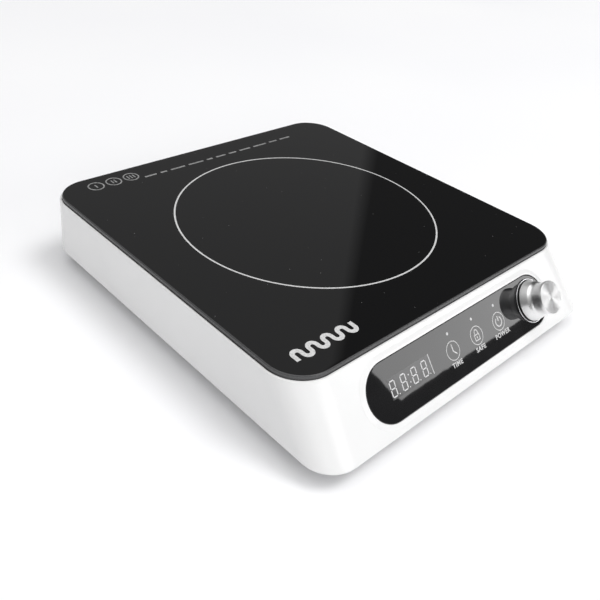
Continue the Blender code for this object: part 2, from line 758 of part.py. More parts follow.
def make_lens(panel, gloss_black):
    size = (PANEL_LENGTH, PANEL_HEIGHT)
    rings = [
        at_height(stadium(*size), LENS_BOTTOM),
        at_height(stadium(*size), LENS_TOP - LENS_BEVEL),
        at_height(stadium(size[0] - 2 * LENS_BEVEL, size[1] - 2 * LENS_BEVEL), LENS_TOP),
    ]
    lens = add_mesh("panel_lens", skin(rings), panel, material=gloss_black)
    cut(lens, rod(PANEL_BORE, LENS_BOTTOM - 1 * MM, LENS_TOP + 1 * MM, (KNOB_X, 0), 24))


def make_control_board(panel, green, dark, clear, spring_steel, steel):
    board = add_mesh(
        "control_board",
        block((*CONTROL_BOARD, BOARD_THICK), (2 * MM, 0), BOARD_FRONT - BOARD_THICK),
        panel,
        material=green,
    )
    holes = [
        rod(1.6 * MM, BOARD_FRONT - 3 * MM, BOARD_FRONT + 1 * MM, (side * BOARD_POST_X, -9 * MM), 12)
        for side in (-1, 1)
    ]
    cut(board, together(holes))
    for side, name in ((-1, "left"), (1, "right")):
        shape = screw_shape(1.0 * MM, 2.4 * MM, BOARD_THICK + 3 * MM, 1.4 * MM, 12)
        bmesh.ops.rotate(shape, verts=shape.verts, matrix=Matrix.Rotation(TAU / 2, 3, "X"))
        at = (side * BOARD_POST_X, -9 * MM, BOARD_FRONT + 3 * MM - GAP)
        add_mesh(f"board_screw_{name}", shape, panel, at, steel)
    front = POCKET_FLOOR
    display = block((*DISPLAY, front - PARTS_BACK), (DISPLAY_X, 0), PARTS_BACK)
    bevel(add_mesh("display_module", display, panel, material=dark), 0.3 * MM)
    wire_low = PARTS_BACK + SPRING_WIRE
    rise = LENS_BOTTOM - GAP - SPRING_WIRE - wire_low
    steps = 12 * SPRING_TURNS
    for number, x in enumerate(KEY_X, 1):
        helix = [
            (
                x + SPRING_COIL * math.cos(TAU * SPRING_TURNS * i / steps),
                SPRING_COIL * math.sin(TAU * SPRING_TURNS * i / steps),
                wire_low + rise * i / steps,
            )
            for i in range(steps + 1)
        ]
        tube(f"touch_spring_{number}", helix, SPRING_WIRE, spring_steel, panel, 0)
        lamp = turned(
            [
                (0, PARTS_BACK),
                (LED_RADIUS + 0.3 * MM, PARTS_BACK),
                (LED_RADIUS + 0.3 * MM, PARTS_BACK + 0.8 * MM),
                (LED_RADIUS, PARTS_BACK + 0.8 * MM),
                (LED_RADIUS, POCKET_FLOOR - 0.9 * MM),
                (LED_RADIUS * 0.7, POCKET_FLOOR - 0.2 * MM),
                (0, POCKET_FLOOR),
            ],
            12,
        )
        add_mesh(f"indicator_led_{number}", lamp, panel, (x, LED_UP, 0), clear)


def make_encoder(panel, turning, steel, dark, brass):
    """Encoder body with its threaded bush, the nut on the lens, the shaft and the knob."""
    body_top = -FRONT_WALL - GAP
    depth = body_top - PARTS_BACK
    body = add_mesh(
        "encoder_body",
        block((ENCODER_SIDE, ENCODER_SIDE, depth), (KNOB_X, 0), PARTS_BACK),
        panel,
        material=dark,
    )
    bush_top = LENS_TOP + GAP + NUT_THICK + 0.7 * MM
    join(body, rod(BUSH_OUTER, body_top - 0.5 * MM, bush_top, (KNOB_X, 0), 24), parent=panel)
    cut(body, rod(BUSH_BORE, PARTS_BACK + 1 * MM, bush_top + 1 * MM, (KNOB_X, 0), 24), parent=panel)
    nut = [circle(6.4 * MM, 6), circle(BUSH_OUTER + GAP, 24)]
    low, high = LENS_TOP + GAP, LENS_TOP + GAP + NUT_THICK
    hexagon = add_mesh("encoder_nut", prism(nut[0], low, high), panel, (KNOB_X, 0, 0), brass, smooth=False)
    cut(hexagon, prism(nut[1], low - 1 * MM, high + 1 * MM), location=(KNOB_X, 0, 0))
    shaft_low = PARTS_BACK + 1.5 * MM
    shaft_high = LENS_TOP + KNOB_HEIGHT - 4 * MM - GAP
    rod_shape = rod(SHAFT_RADIUS, shaft_low, shaft_high, steps=20)
    shaft = add_mesh("encoder_shaft", rod_shape, turning, material=steel)
    flat = block((8 * MM, 4 * MM, shaft_high), (0, SHAFT_RADIUS + 1.2 * MM), bush_top + 0.5 * MM)
    cut(shaft, flat, parent=turning)


def make_knob(panel, turning, aluminium, chrome):
    profile = [(radius, LENS_TOP + height) for radius, height in knob_profile()]
    add_mesh("knob", turned(profile, 32), turning, material=aluminium)
    low = LENS_TOP + GAP
    ring = [
        (RING_INNER, low),
        (RING_OUTER, low),
        (RING_OUTER, low + 0.6 * RING_THICK),
        (RING_OUTER - 0.4 * RING_THICK, low + RING_THICK),
        (RING_INNER, low + RING_THICK),
    ]
    add_mesh("knob_ring", turned(ring, 32, closed=True), panel, (KNOB_X, 0, 0), chrome)


# Coil, fan and power electronics


def make_coil(root, copper, plastic, ferrite, mica, silicone, steel):
    former = add_mesh(
        "coil_former", rod(FORMER_RADIUS, FORMER_BOTTOM, FORMER_TOP, steps=40), root, material=plastic
    )
    ears = []
    for x, y in coil_post_places():
        ear = prism(stadium(4 * EAR_RADIUS, 2 * EAR_RADIUS), FORMER_BOTTOM, FORMER_TOP)
        inward = (EAR_REACH - EAR_RADIUS) / EAR_REACH
        ears.append(moved(ear, (x * inward, y * inward, 0), math.atan2(y, x)))
    join(former, together(ears))
    bolts = [rod(1.6 * MM, FORMER_BOTTOM - 1 * MM, FORMER_TOP + 1 * MM, p, 12) for p in coil_post_places()]
    leads = [
        rod(2.6 * MM, FORMER_BOTTOM - 1 * MM, FORMER_TOP + 1 * MM, (0, -r), 12)
        for r in (COIL_INNER, COIL_OUTER)
    ]
    window_angles = [TAU * (i + 0.5) / FERRITES for i in range(FERRITES) if i != 4]
    windows = [
        moved(block((34 * MM, 16 * MM, 3 * FORMER_THICK), (58 * MM, 0), FORMER_BOTTOM - FORMER_THICK), turn=a)
        for a in window_angles
    ]
    cut(former, together(bolts + leads + windows))
    half_wide, tall = COIL_WIRE[0] / 2, COIL_WIRE[1]
    stations = COIL_TURNS * COIL_STEPS
    sections = []
    for i in range(stations + 1):
        angle = -TAU / 4 + TAU * i / COIL_STEPS
        radius = COIL_INNER + (COIL_OUTER - COIL_INNER) * i / stations
        sections.append(
            [
                ((radius + dr) * math.cos(angle), (radius + dr) * math.sin(angle), COIL_BOTTOM + dz)
                for dr, dz in ((-half_wide, 0), (half_wide, 0), (half_wide, tall), (-half_wide, tall))
            ]
        )
    add_mesh("induction_coil", skin(sections), root, material=copper)
    for number in range(FERRITES):
        angle = TAU * number / FERRITES
        bar = block(FERRITE, (FERRITE_START + FERRITE[0] / 2, 0), FORMER_BOTTOM - GAP - FERRITE[2])
        add_mesh(f"ferrite_bar_{number + 1}", moved(bar, turn=angle), root, material=ferrite)
    sheet_low = COIL_TOP + GAP
    sheet = [
        (COIL_INNER - 12 * MM, sheet_low),
        (COIL_OUTER + 4 * MM, sheet_low),
        (COIL_OUTER + 4 * MM, sheet_low + MICA_THICK),
        (COIL_INNER - 12 * MM, sheet_low + MICA_THICK),
    ]
    add_mesh("mica_sheet", turned(sheet, 32, closed=True), root, material=mica)
    top = GLASS_BOTTOM - GAP
    sensor = [
        (0, FORMER_TOP + GAP),
        (SENSOR_RADIUS + 4 * MM, FORMER_TOP + GAP),
        (SENSOR_RADIUS + 4 * MM, FORMER_TOP + 2 * MM),
        (SENSOR_RADIUS, FORMER_TOP + 3 * MM),
        (SENSOR_RADIUS, top - 4 * MM),
        (SENSOR_RADIUS + 2 * MM, top - 2.5 * MM),
        (SENSOR_RADIUS + 2 * MM, top - 0.6 * MM),
        (SENSOR_RADIUS + 1.4 * MM, top),
        (0, top),
    ]
    add_mesh("temperature_sensor", turned(sensor, 20), root, material=silicone)
    for number, (x, y) in enumerate(coil_post_places(), 1):
        shape = screw_shape(1.0 * MM, 2.6 * MM, 9 * MM, 1.5 * MM, 12)
        add_mesh(f"coil_screw_{number}", shape, root, (x, y, FORMER_TOP + GAP - 9 * MM), steel)


def make_fan(root, spinning, plastic, copper, steel):
    """Axial fan: frame with three spokes and a bearing tube, stator, bladed hub and shaft."""
    x, y = FAN_AT
    outline = square(FAN_SIDE / 2, 8 * MM)
    frame = add_mesh(
        "fan_frame", prism(outline, FAN_BOTTOM, FAN_BOTTOM + FAN_THICK), root, (x, y, 0), plastic
    )
    bore = rod(FAN_BORE, FAN_BOTTOM - 1 * MM, FAN_BOTTOM + FAN_THICK + 1 * MM, steps=40)
    reach = FAN_SIDE / 2 - 5.5 * MM
    pins = [
        rod(2.2 * MM, FAN_BOTTOM - 1 * MM, FAN_BOTTOM + FAN_THICK + 1 * MM, (sx * reach, sy * reach), 12)
        for sx in (-1, 1)
        for sy in (-1, 1)
    ]
    cut(frame, together([bore, *pins]), location=(x, y, 0))
    floor = 2 * MM
    tube_top = FAN_BOTTOM + 12 * MM
    spider = rod(FAN_HUB - 1 * MM, FAN_BOTTOM, FAN_BOTTOM + floor, steps=24)
    join(frame, spider, location=(x, y, 0))
    arm = (FAN_BORE - FAN_HUB + 6 * MM, 4 * MM, floor)
    for i in range(3):
        spoke = block(arm, (FAN_HUB - 4 * MM + arm[0] / 2, 0), FAN_BOTTOM)
        join(frame, moved(spoke, turn=TAU * (i / 3 + 0.08)), location=(x, y, 0))
    join(frame, rod(FAN_SHAFT + 2 * MM, FAN_BOTTOM + 0.5 * MM, tube_top, steps=16), location=(x, y, 0))
    well = rod(FAN_SHAFT + 1.5 * GAP, FAN_BOTTOM + 0.8 * MM, tube_top + 1 * MM, steps=16)
    cut(frame, well, location=(x, y, 0))
    stator_low = FAN_BOTTOM + floor + 0.7 * MM
    stator = [
        (FAN_SHAFT + 2.4 * MM, stator_low),
        (11 * MM, stator_low),
        (13 * MM, stator_low + 2 * MM),
        (13 * MM, stator_low + 5 * MM),
        (11 * MM, stator_low + 7 * MM),
        (FAN_SHAFT + 2.4 * MM, stator_low + 7 * MM),
    ]
    add_mesh("fan_stator", turned(stator, 20, closed=True), root, (x, y, 0), copper)
    make_rotor(spinning, plastic)
    shaft = rod(FAN_SHAFT, FAN_BOTTOM + 1.2 * MM, FAN_BOTTOM + 15 * MM, steps=16)
    add_mesh("fan_shaft", shaft, spinning, material=steel)


def make_rotor(spinning, plastic):
    low = FAN_BOTTOM + 2.6 * MM
    top = FAN_BOTTOM + FAN_THICK - 1 * MM
    wall = 1.6 * MM
    hub = [
        (0, top),
        (FAN_HUB - 1 * MM, top),
        (FAN_HUB, top - 1 * MM),
        (FAN_HUB, low),
        (FAN_HUB - wall, low),
        (FAN_HUB - wall, top - 2 * MM),
        (FAN_SHAFT + 3 * MM, top - 2 * MM),
        (FAN_SHAFT + 3 * MM, top - 4.4 * MM),
        (FAN_SHAFT + GAP, top - 4.4 * MM),
        (FAN_SHAFT + GAP, top - 1.2 * MM),
        (0, top - 1.2 * MM),
    ]
    rotor = add_mesh("fan_rotor", turned(hub, 28), spinning, material=plastic)
    blades = []
    for number in range(FAN_BLADES):
        sections = []
        middle = (FAN_HUB + FAN_BLADE_TIP) / 2
        for radius, lean in ((FAN_HUB - 0.8 * MM, 0.62), (middle, 0.86), (FAN_BLADE_TIP, 1.05)):
            half_chord = 5.5 * MM + 0.22 * (radius - FAN_HUB)
            chord = Vector((0, math.sin(lean), math.cos(lean)))
            across = Vector((0, math.cos(lean), -math.sin(lean))) * 0.7 * MM
            mid = Vector((radius, 0, (low + top) / 2))
            sections.append(
                [mid + chord * s * half_chord + across * t for s, t in ((-1, -1), (1, -1), (1, 1), (-1, 1))]
            )
        blades.append(moved(skin(sections), turn=TAU * number / FAN_BLADES))
    join(rotor, together(blades))


def make_power_board(root, green, aluminium, dark, steel, copper, ferrite, blue, clear):
    board = add_mesh(
        "power_board", block((*POWER_BOARD, BOARD_THICK), POWER_AT, POWER_BOTTOM), root, material=green
    )
    clearances = [
        rod(5 * MM, POWER_BOTTOM - 1 * MM, POWER_TOP + 1 * MM, place) for place in coil_post_places()
    ]
    clearances += [
        rod(1.7 * MM, POWER_BOTTOM - 1 * MM, POWER_TOP + 1 * MM, place, 12) for place in power_pin_places()
    ]
    cut(board, together(clearances))
    for name, size, at in (
        ("igbt", (16 * MM, 21 * MM, 5 * MM), (-2 * MM, 58 * MM)),
        ("bridge_rectifier", (30 * MM, 20 * MM, 5 * MM), (28 * MM, 58 * MM)),
    ):
        bevel(add_mesh(name, block(size, at, ON_POWER), root, material=dark), 0.5 * MM)
    sink_low = ON_POWER + 5 * MM + GAP
    add_mesh("heatsink", heatsink_shape(sink_low), root, material=aluminium)
    for name, size, at, material in (
        ("resonant_capacitor", (42 * MM, 18 * MM, 15 * MM), (92 * MM, 62 * MM), blue),
        ("filter_capacitor", (42 * MM, 18 * MM, 15 * MM), (92 * MM, 34 * MM), dark),
    ):
        bevel(add_mesh(name, block(size, at, ON_POWER), root, material=material), 0.8 * MM)
    ring = [
        (5.5 * MM, ON_POWER),
        (12 * MM, ON_POWER),
        (13 * MM, ON_POWER + 3 * MM),
        (13 * MM, ON_POWER + 9 * MM),
        (12 * MM, ON_POWER + 12 * MM),
        (5.5 * MM, ON_POWER + 12 * MM),
    ]
    add_mesh("choke_coil", turned(ring, 20, closed=True), root, (84 * MM, -22 * MM, 0), copper)
    core = block((22 * MM, 8 * MM, 14 * MM), (52 * MM, -22 * MM), ON_POWER)
    transformer = add_mesh("transformer", core, root, material=ferrite)
    join(transformer, block((15 * MM, 18 * MM, 9 * MM), (52 * MM, -22 * MM), ON_POWER + 2 * MM), parent=root)
    fuse_radius = 2.6 * MM
    fuse = [
        (0, 0),
        (fuse_radius, 0),
        (fuse_radius, 5 * MM),
        (fuse_radius - 0.4 * MM, 5 * MM),
        (fuse_radius - 0.4 * MM, 15 * MM),
        (fuse_radius, 15 * MM),
        (fuse_radius, 20 * MM),
        (0, 20 * MM),
    ]
    lying = along_y(turned(fuse, 12), 110 * MM, -32 * MM, ON_POWER + fuse_radius + 0.3 * MM)
    add_mesh("fuse", lying, root, material=clear)


def heatsink_shape(low):
    """A finned extrusion along Y: the comb's outline is drawn in X and Z."""
    width, depth, floor, fin, rise, count = 72 * MM, 56 * MM, 3 * MM, 1.6 * MM, 8 * MM, 9
    pitch = (width - fin) / (count - 1)
    comb = [(0, 0), (width, 0)]
    for i in reversed(range(count)):
        start = i * pitch
        comb += [(start + fin, floor + rise), (start, floor + rise)]
        if i:
            comb += [(start, floor), (start - pitch + fin, floor)]
    left, rear = -20 * MM, EAR_REACH - 12 * MM
    ends = [[(left + x, y, low + z) for x, z in comb] for y in (rear - depth, rear)]
    return skin(ends)


def make_leads(root, sleeve, ribbon):
    """Wires that stay inside: the coil's two leads, the fan's lead and the flat panel ribbon."""
    lead = 1.8 * MM
    top = COIL_BOTTOM - 2 * GAP
    end = ON_POWER + 0.6 * lead
    inner = [
        (0, -COIL_INNER, top),
        (0, -COIL_INNER, FORMER_BOTTOM - 5 * MM),
        (3 * MM, -28 * MM, 27 * MM),
        (7 * MM, -32 * MM, 22 * MM),
        (8 * MM, -33 * MM, end),
    ]
    outer = [
        (0, -COIL_OUTER, top),
        (0, -COIL_OUTER, FORMER_BOTTOM - 5 * MM),
        (5 * MM, 6 * MM - COIL_OUTER, 26 * MM),
        (16 * MM, 26 * MM - COIL_OUTER, 23 * MM),
        (25 * MM, -42 * MM, 23 * MM),
        (28 * MM, -36 * MM, end),
    ]
    tube("coil_lead_inner", smooth_route(inner, 4 * MM), lead, sleeve, root)
    tube("coil_lead_outer", smooth_route(outer, 4 * MM), lead, sleeve, root)
    fan_side = FAN_AT[0] + FAN_SIDE / 2 + GAP
    fan_front = FAN_AT[1] - FAN_SIDE / 2
    board_side = POWER_AT[0] - POWER_BOARD[0] / 2
    fan = [
        (fan_side, fan_front + 6 * MM, 18 * MM),
        (fan_side + 5 * MM, fan_front + 5 * MM, 19 * MM),
        (board_side + 3.3 * MM, 17 * MM, 21 * MM),
        (board_side + 7.3 * MM, 11 * MM, 19.5 * MM),
        (board_side + 7.8 * MM, 9 * MM, end),
    ]
    tube("fan_lead", smooth_route(fan, 3 * MM), 1.1 * MM, sleeve, root)
    half_wide, thick, x = 4 * MM, 0.8 * MM, -9.5 * MM
    depth = BOARD_DEPTH + BOARD_THICK + 2 * GAP
    start_y = PANEL_Y + depth * math.sin(PANEL_TILT)
    start_z = PANEL_Z - depth * math.cos(PANEL_TILT)
    path = smooth_route(
        [
            (x, start_y, start_z),
            (x, start_y + 6 * MM, start_z - 5 * MM),
            (x, start_y + 16 * MM, start_z - 10.5 * MM),
            (x, -110 * MM, 15.5 * MM),
            (x, -80 * MM, 16 * MM),
            (x, -56 * MM, 21 * MM),
            (x, -44 * MM, 21 * MM),
            (x, -38 * MM, end),
        ],
        7 * MM,
    )
    sections = []
    for before, here, after in zip([path[0], *path], path, [*path[1:], path[-1]]):
        along = (after - before).normalized()
        up = Vector((0, -along.z, along.y)) * thick / 2
        side = Vector((half_wide, 0, 0))
        sections.append([here - side - up, here + side - up, here + side + up, here - side + up])
    add_mesh("ribbon_cable", skin(sections), root, material=ribbon)


def empty(name, parent, location, rotation=(0, 0, 0)):
    obj = bpy.data.objects.new(name, None)
    bpy.context.scene.collection.objects.link(obj)
    obj.parent = parent
    obj.location = location
    obj.rotation_euler = rotation
    return obj


def main():
    for obj in list(bpy.data.objects):
        bpy.data.objects.remove(obj)
    white = finish("white_abs", (0.9, 0.9, 0.9), 0.25)
    grey = finish("grey_abs", (0.72, 0.72, 0.73), 0.45)
    black_glass = finish("black_ceramic_glass", (0.012, 0.012, 0.013), 0.08)
    gloss_black = finish("black_acrylic", (0.015, 0.015, 0.017), 0.06)
    rubber = finish("black_rubber", (0.03, 0.03, 0.03), 0.8)
    silicone = finish("clear_silicone", (0.55, 0.55, 0.55), 0.6)
    aluminium = finish("spun_aluminium", (0.8, 0.8, 0.8), 0.25, 1.0)
    chrome = finish("chrome", (0.85, 0.85, 0.86), 0.08, 1.0)
    steel = finish("zinc_steel", (0.6, 0.6, 0.62), 0.35, 1.0)
    brass = finish("brass", (0.78, 0.6, 0.3), 0.3, 1.0)
    copper = finish("litz_copper", (0.72, 0.36, 0.2), 0.4, 1.0)
    plastic = finish("black_pbt", (0.05, 0.05, 0.05), 0.5)
    dark = finish("epoxy_black", (0.04, 0.04, 0.045), 0.45)
    green = finish("fibreglass_green", (0.03, 0.2, 0.07), 0.4)
    ferrite = finish("ferrite", (0.09, 0.09, 0.1), 0.6)
    mica = finish("mica", (0.7, 0.66, 0.55), 0.35)
    blue = finish("capacitor_blue", (0.05, 0.15, 0.45), 0.4)
    clear = finish("clear_epoxy", (0.8, 0.8, 0.8), 0.1)
    sleeve = finish("silicone_sleeve", (0.75, 0.73, 0.7), 0.6)
    ribbon = finish("grey_ribbon", (0.5, 0.5, 0.52), 0.5)

    root = empty("cooktop", None, (0, GLASS_MIDDLE_Y, 0))
    panel = empty("front_panel", root, (0, PANEL_Y, PANEL_Z), (PANEL_TILT, 0, 0))
    turning = empty("knob_axis", panel, (KNOB_X, 0, 0))
    spinning = empty("fan_axis", root, (*FAN_AT, 0))

    make_housing(root, panel, white)
    make_base(root, grey)
    make_glass(root, black_glass, silicone)
    make_feet(root, rubber, steel)
    make_gland(root, rubber)
    make_lens(panel, gloss_black)
    make_control_board(panel, green, dark, clear, steel, steel)
    make_encoder(panel, turning, steel, dark, brass)
    make_knob(panel, turning, aluminium, chrome)
    make_coil(root, copper, plastic, ferrite, mica, silicone, steel)
    make_fan(root, spinning, plastic, copper, steel)
    make_power_board(root, green, aluminium, dark, steel, copper, ferrite, blue, clear)
    make_leads(root, sleeve, ribbon)


main()
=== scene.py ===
import json
import math

import bmesh
import bpy
import numpy as np
from mathutils import Matrix, Vector


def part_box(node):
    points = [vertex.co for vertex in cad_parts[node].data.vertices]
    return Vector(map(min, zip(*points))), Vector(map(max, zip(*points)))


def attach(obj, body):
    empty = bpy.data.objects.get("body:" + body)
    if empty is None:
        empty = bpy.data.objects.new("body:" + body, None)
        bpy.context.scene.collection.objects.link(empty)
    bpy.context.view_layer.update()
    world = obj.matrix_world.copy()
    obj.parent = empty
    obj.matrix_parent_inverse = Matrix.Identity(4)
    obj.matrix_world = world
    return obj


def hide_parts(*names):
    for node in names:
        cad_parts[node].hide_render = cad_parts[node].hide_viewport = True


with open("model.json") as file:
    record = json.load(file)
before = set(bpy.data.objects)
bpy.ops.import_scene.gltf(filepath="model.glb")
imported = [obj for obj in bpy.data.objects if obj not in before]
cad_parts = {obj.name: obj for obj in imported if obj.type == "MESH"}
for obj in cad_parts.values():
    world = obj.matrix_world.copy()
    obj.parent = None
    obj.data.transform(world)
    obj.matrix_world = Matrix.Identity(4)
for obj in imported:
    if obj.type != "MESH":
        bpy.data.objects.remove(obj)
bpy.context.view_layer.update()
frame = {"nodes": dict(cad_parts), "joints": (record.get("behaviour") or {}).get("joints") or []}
nodes = frame["nodes"]
mm = 0.001
tau = 2 * math.pi


def readAll(items, key, width=1, kind=np.float32):
    # one property of every vertex, corner or face as an array
    values = np.empty(len(items) * width, kind)
    items.foreach_get(key, values)
    return values.reshape(-1, width) if width > 1 else values


def meshPoints(obj):
    return readAll(obj.data.vertices, "co", 3).astype(float)


# where things are, read from the frame
glassLow, glassHigh = np.array(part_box("glass_plate"))
glassMiddle = (glassLow + glassHigh) / 2
glassTop = float(glassHigh[2])
middleY = float(glassMiddle[1])
knobJoint = next(joint for joint in frame["joints"] if joint["name"] == "knob_turn")
panelNormal = np.array(knobJoint["axis"], float)
panelNormal /= np.linalg.norm(panelNormal)
panelUp = np.cross(panelNormal, (1.0, 0.0, 0.0))  # up the slope
knobX = float(knobJoint["pos_m"][0])
panelMiddle = np.array(knobJoint["pos_m"], float) * (0, 1, 1)
lensPoints = meshPoints(nodes["panel_lens"]) - panelMiddle
lensHeights = lensPoints @ panelNormal
lensTop = float(lensHeights.max())  # height of the lens's face above the slope
lensBottom = float(lensHeights.min())
lensSize = (float(np.ptp(lensPoints[:, 0])), float(np.ptp(lensPoints @ panelUp)))
print("frame read: glass", np.round(glassMiddle, 4), "lens", np.round(lensSize, 4))


# materials

def linear(colourHex):
    # sRGB hex to the linear numbers that shaders take
    values = [int(colourHex[i:i + 2], 16) / 255 for i in (1, 3, 5)]
    return tuple(v / 12.92 if v <= 0.04045 else ((v + 0.055) / 1.055) ** 2.4 for v in values) + (1.0,)


def addNode(tree, kind, settings=None, links=None, feeds=None):
    # one node: settings go to a ramp's stops, to inputs by name or number, or to attributes;
    # links are input: socket, and the first output goes on to the socket that it feeds
    node = tree.nodes.new(kind)
    for key, value in (settings or {}).items():
        if key == "stops":
            elements = node.color_ramp.elements
            while len(elements) < len(value):
                elements.new(0.5)
            for element, (position, colour) in zip(elements, value):
                element.position = position
                element.color = linear(colour) if isinstance(colour, str) else (colour, colour, colour, 1.0)
        elif isinstance(key, int) or key in node.inputs:
            node.inputs[key].default_value = value
        else:
            setattr(node, key, value)
    for key, socket in (links or {}).items():
        tree.links.new(socket, node.inputs[key])
    if feeds is not None:
        tree.links.new(node.outputs[0], feeds)
    return node


def newMaterial(name, sockets):
    # a material whose even values sit on the shader's own sockets
    material = bpy.data.materials.new(name)
    material.use_nodes = True
    tree = material.node_tree
    shader = tree.nodes["Principled BSDF"]
    for key, value in sockets.items():
        shader.inputs[key].default_value = value
    place = addNode(tree, "ShaderNodeTexCoord")
    return material, tree, shader, place.outputs["Object"]


def drive(tree, shader, pattern, shades=None, rough=None, relief=None):
    # a pattern from 0 to 1 sets colour by its stops, roughness between two values, and relief in metres
    if shades:
        addNode(tree, "ShaderNodeValToRGB", {"stops": shades}, {"Fac": pattern}, shader.inputs["Base Color"])
    if rough:
        ends = {"To Min": rough[0], "To Max": rough[1]}
        addNode(tree, "ShaderNodeMapRange", ends, {"Value": pattern}, shader.inputs["Roughness"])
    if relief:
        depth = {"Strength": 1.0, "Distance": relief}
        addNode(tree, "ShaderNodeBump", depth, {"Height": pattern}, shader.inputs["Normal"])


def grained(name, spacing, detail, shades, sockets, rough=None, relief=None):
    # a finish with one noise: grains about half the spacing across, in metres
    material, tree, shader, place = newMaterial(name, sockets)
    grain = addNode(tree, "ShaderNodeTexNoise", {"Scale": 1 / spacing, "Detail": detail}, {"Vector": place})
    drive(tree, shader, grain.outputs[0], shades, rough, relief)
    return material


def mouldedAbs():
    # gloss-moulded ABS: a clear white gloss, uneven with the flow, with a polished mould's faint orange peel
    look = {
        "colour": "#e6e6e6", "shade": "#e2e2e2", "rough": (0.17, 0.27),
        "flow": 60 * mm, "peel": 2.5 * mm, "peelDepth": 0.004 * mm,
    }
    material, tree, shader, place = newMaterial("glossMouldedAbs", {"Roughness": 0.22, "IOR": 1.53})
    flow = addNode(tree, "ShaderNodeTexNoise", {"Scale": 1 / look["flow"], "Detail": 2.0}, {"Vector": place})
    drive(tree, shader, flow.outputs[0], [(0.3, look["shade"]), (0.7, look["colour"])], look["rough"])
    peel = addNode(tree, "ShaderNodeTexNoise", {"Scale": 1 / look["peel"], "Detail": 1.0}, {"Vector": place})
    drive(tree, shader, peel.outputs[0], relief=look["peelDepth"])
    return material


def texturedAbs(name, light, dark, roughness=0.5):
    # spark-textured ABS and the like: a fine matt grain, about a third of a millimetre across
    sockets = {"Roughness": roughness, "IOR": 1.53}
    return grained(name, 0.7 * mm, 3.0, [(0.35, dark), (0.65, light)], sockets, relief=0.03 * mm)


def ceramicGlass():
    # polished black glass ceramic: near-black body, mirror-smooth face with a trace of haze, specks of dust
    look = {
        "body": "#0b0b0c", "dust": "#8a8a8a", "dustSpacing": 9 * mm, "dustSize": 0.025,
        "haze": 35 * mm, "rough": (0.015, 0.03),
    }
    material, tree, shader, place = newMaterial("polishedGlassCeramic", {"Roughness": 0.045, "IOR": 1.54})
    cells = {"Scale": 1 / look["dustSpacing"], "Randomness": 1.0}
    speck = addNode(tree, "ShaderNodeTexVoronoi", cells, {"Vector": place})
    small = {"operation": "LESS_THAN", 1: look["dustSize"]}
    dust = addNode(tree, "ShaderNodeMath", small, {0: speck.outputs["Distance"]})
    colours = {"data_type": "RGBA", 6: linear(look["body"]), 7: linear(look["dust"])}
    tint = addNode(tree, "ShaderNodeMix", colours, {0: dust.outputs[0]})
    tree.links.new(tint.outputs[2], shader.inputs["Base Color"])
    haze = addNode(tree, "ShaderNodeTexNoise", {"Scale": 1 / look["haze"], "Detail": 4.0}, {"Vector": place})
    drive(tree, shader, haze.outputs[0], rough=look["rough"])
    return material


def screenInk(name, light, worn):
    # screen-printed ink: a dense matt film with slightly uneven cover
    return grained(name, 0.9 * mm, 2.0, [(0.35, worn), (0.6, light)], {"Roughness": 0.42, "IOR": 1.5})


def turnedAluminium(name, dark, light, roughness, anisotropy, rings):
    # diamond-turned aluminium: fine tool rings round the axis, so highlights fan out across them
    sockets = {
        "Metallic": 1.0, "Roughness": roughness, "Anisotropic": anisotropy, "Anisotropic Rotation": 0.25,
    }
    material, tree, shader, _ = newMaterial(name, sockets)
    uv = addNode(tree, "ShaderNodeUVMap", {"uv_map": "turning"})
    tangent = {"direction_type": "UV_MAP", "uv_map": "turning"}
    addNode(tree, "ShaderNodeTangent", tangent, feeds=shader.inputs["Tangent"])
    stretch = addNode(tree, "ShaderNodeMapping", {"Scale": (6.0, rings, 1.0)}, {"Vector": uv.outputs[0]})
    lines = addNode(tree, "ShaderNodeTexNoise", {"Scale": 1.0, "Detail": 3.0}, {"Vector": stretch.outputs[0]})
    rough = (roughness * 0.8, roughness * 1.25)
    drive(tree, shader, lines.outputs[0], [(0.3, dark), (0.7, light)], rough, 0.004 * mm)
    return material


def platedMetal(name, light, dark, roughness, spacing=3 * mm):
    # plated or drawn metal with a faint unevenness in its shine
    sockets = {"Metallic": 1.0, "Roughness": roughness}
    rough = (roughness * 0.75, roughness * 1.3)
    return grained(name, spacing, 3.0, [(0.3, dark), (0.7, light)], sockets, rough)


def circuitBoard():
    # glass-fibre board under green solder mask: faint weave, with lighter copper tracks showing through
    look = {"mask": "#12401f", "shade": "#0f381b", "track": "#2a6a3a", "pitch": 9 * mm, "weave": 1 * mm}
    material, tree, shader, place = newMaterial("solderMaskedFibreglass", {"Roughness": 0.38, "IOR": 1.5})
    tracks = {
        "Scale": 1 / look["pitch"], "Mortar Size": 0.06, "offset": 0.37, "squash": 1.6,
        "Color1": linear(look["mask"]), "Color2": linear(look["shade"]), "Mortar": linear(look["track"]),
    }
    addNode(tree, "ShaderNodeTexBrick", tracks, {"Vector": place}, shader.inputs["Base Color"])
    fine = {"Scale": 1 / look["weave"], "Detail": 2.0}
    weave = addNode(tree, "ShaderNodeTexNoise", fine, {"Vector": place})
    drive(tree, shader, weave.outputs[0], relief=0.02 * mm)
    return material


def speckled(name, light, dark, spacing, roughness, ior=1.5):
    # cast, sintered or pressed stock: two close shades in grains of a known size
    sockets = {"Roughness": roughness, "IOR": ior}
    return grained(name, spacing, 5.0, [(0.35, dark), (0.65, light)], sockets, relief=0.03 * mm)


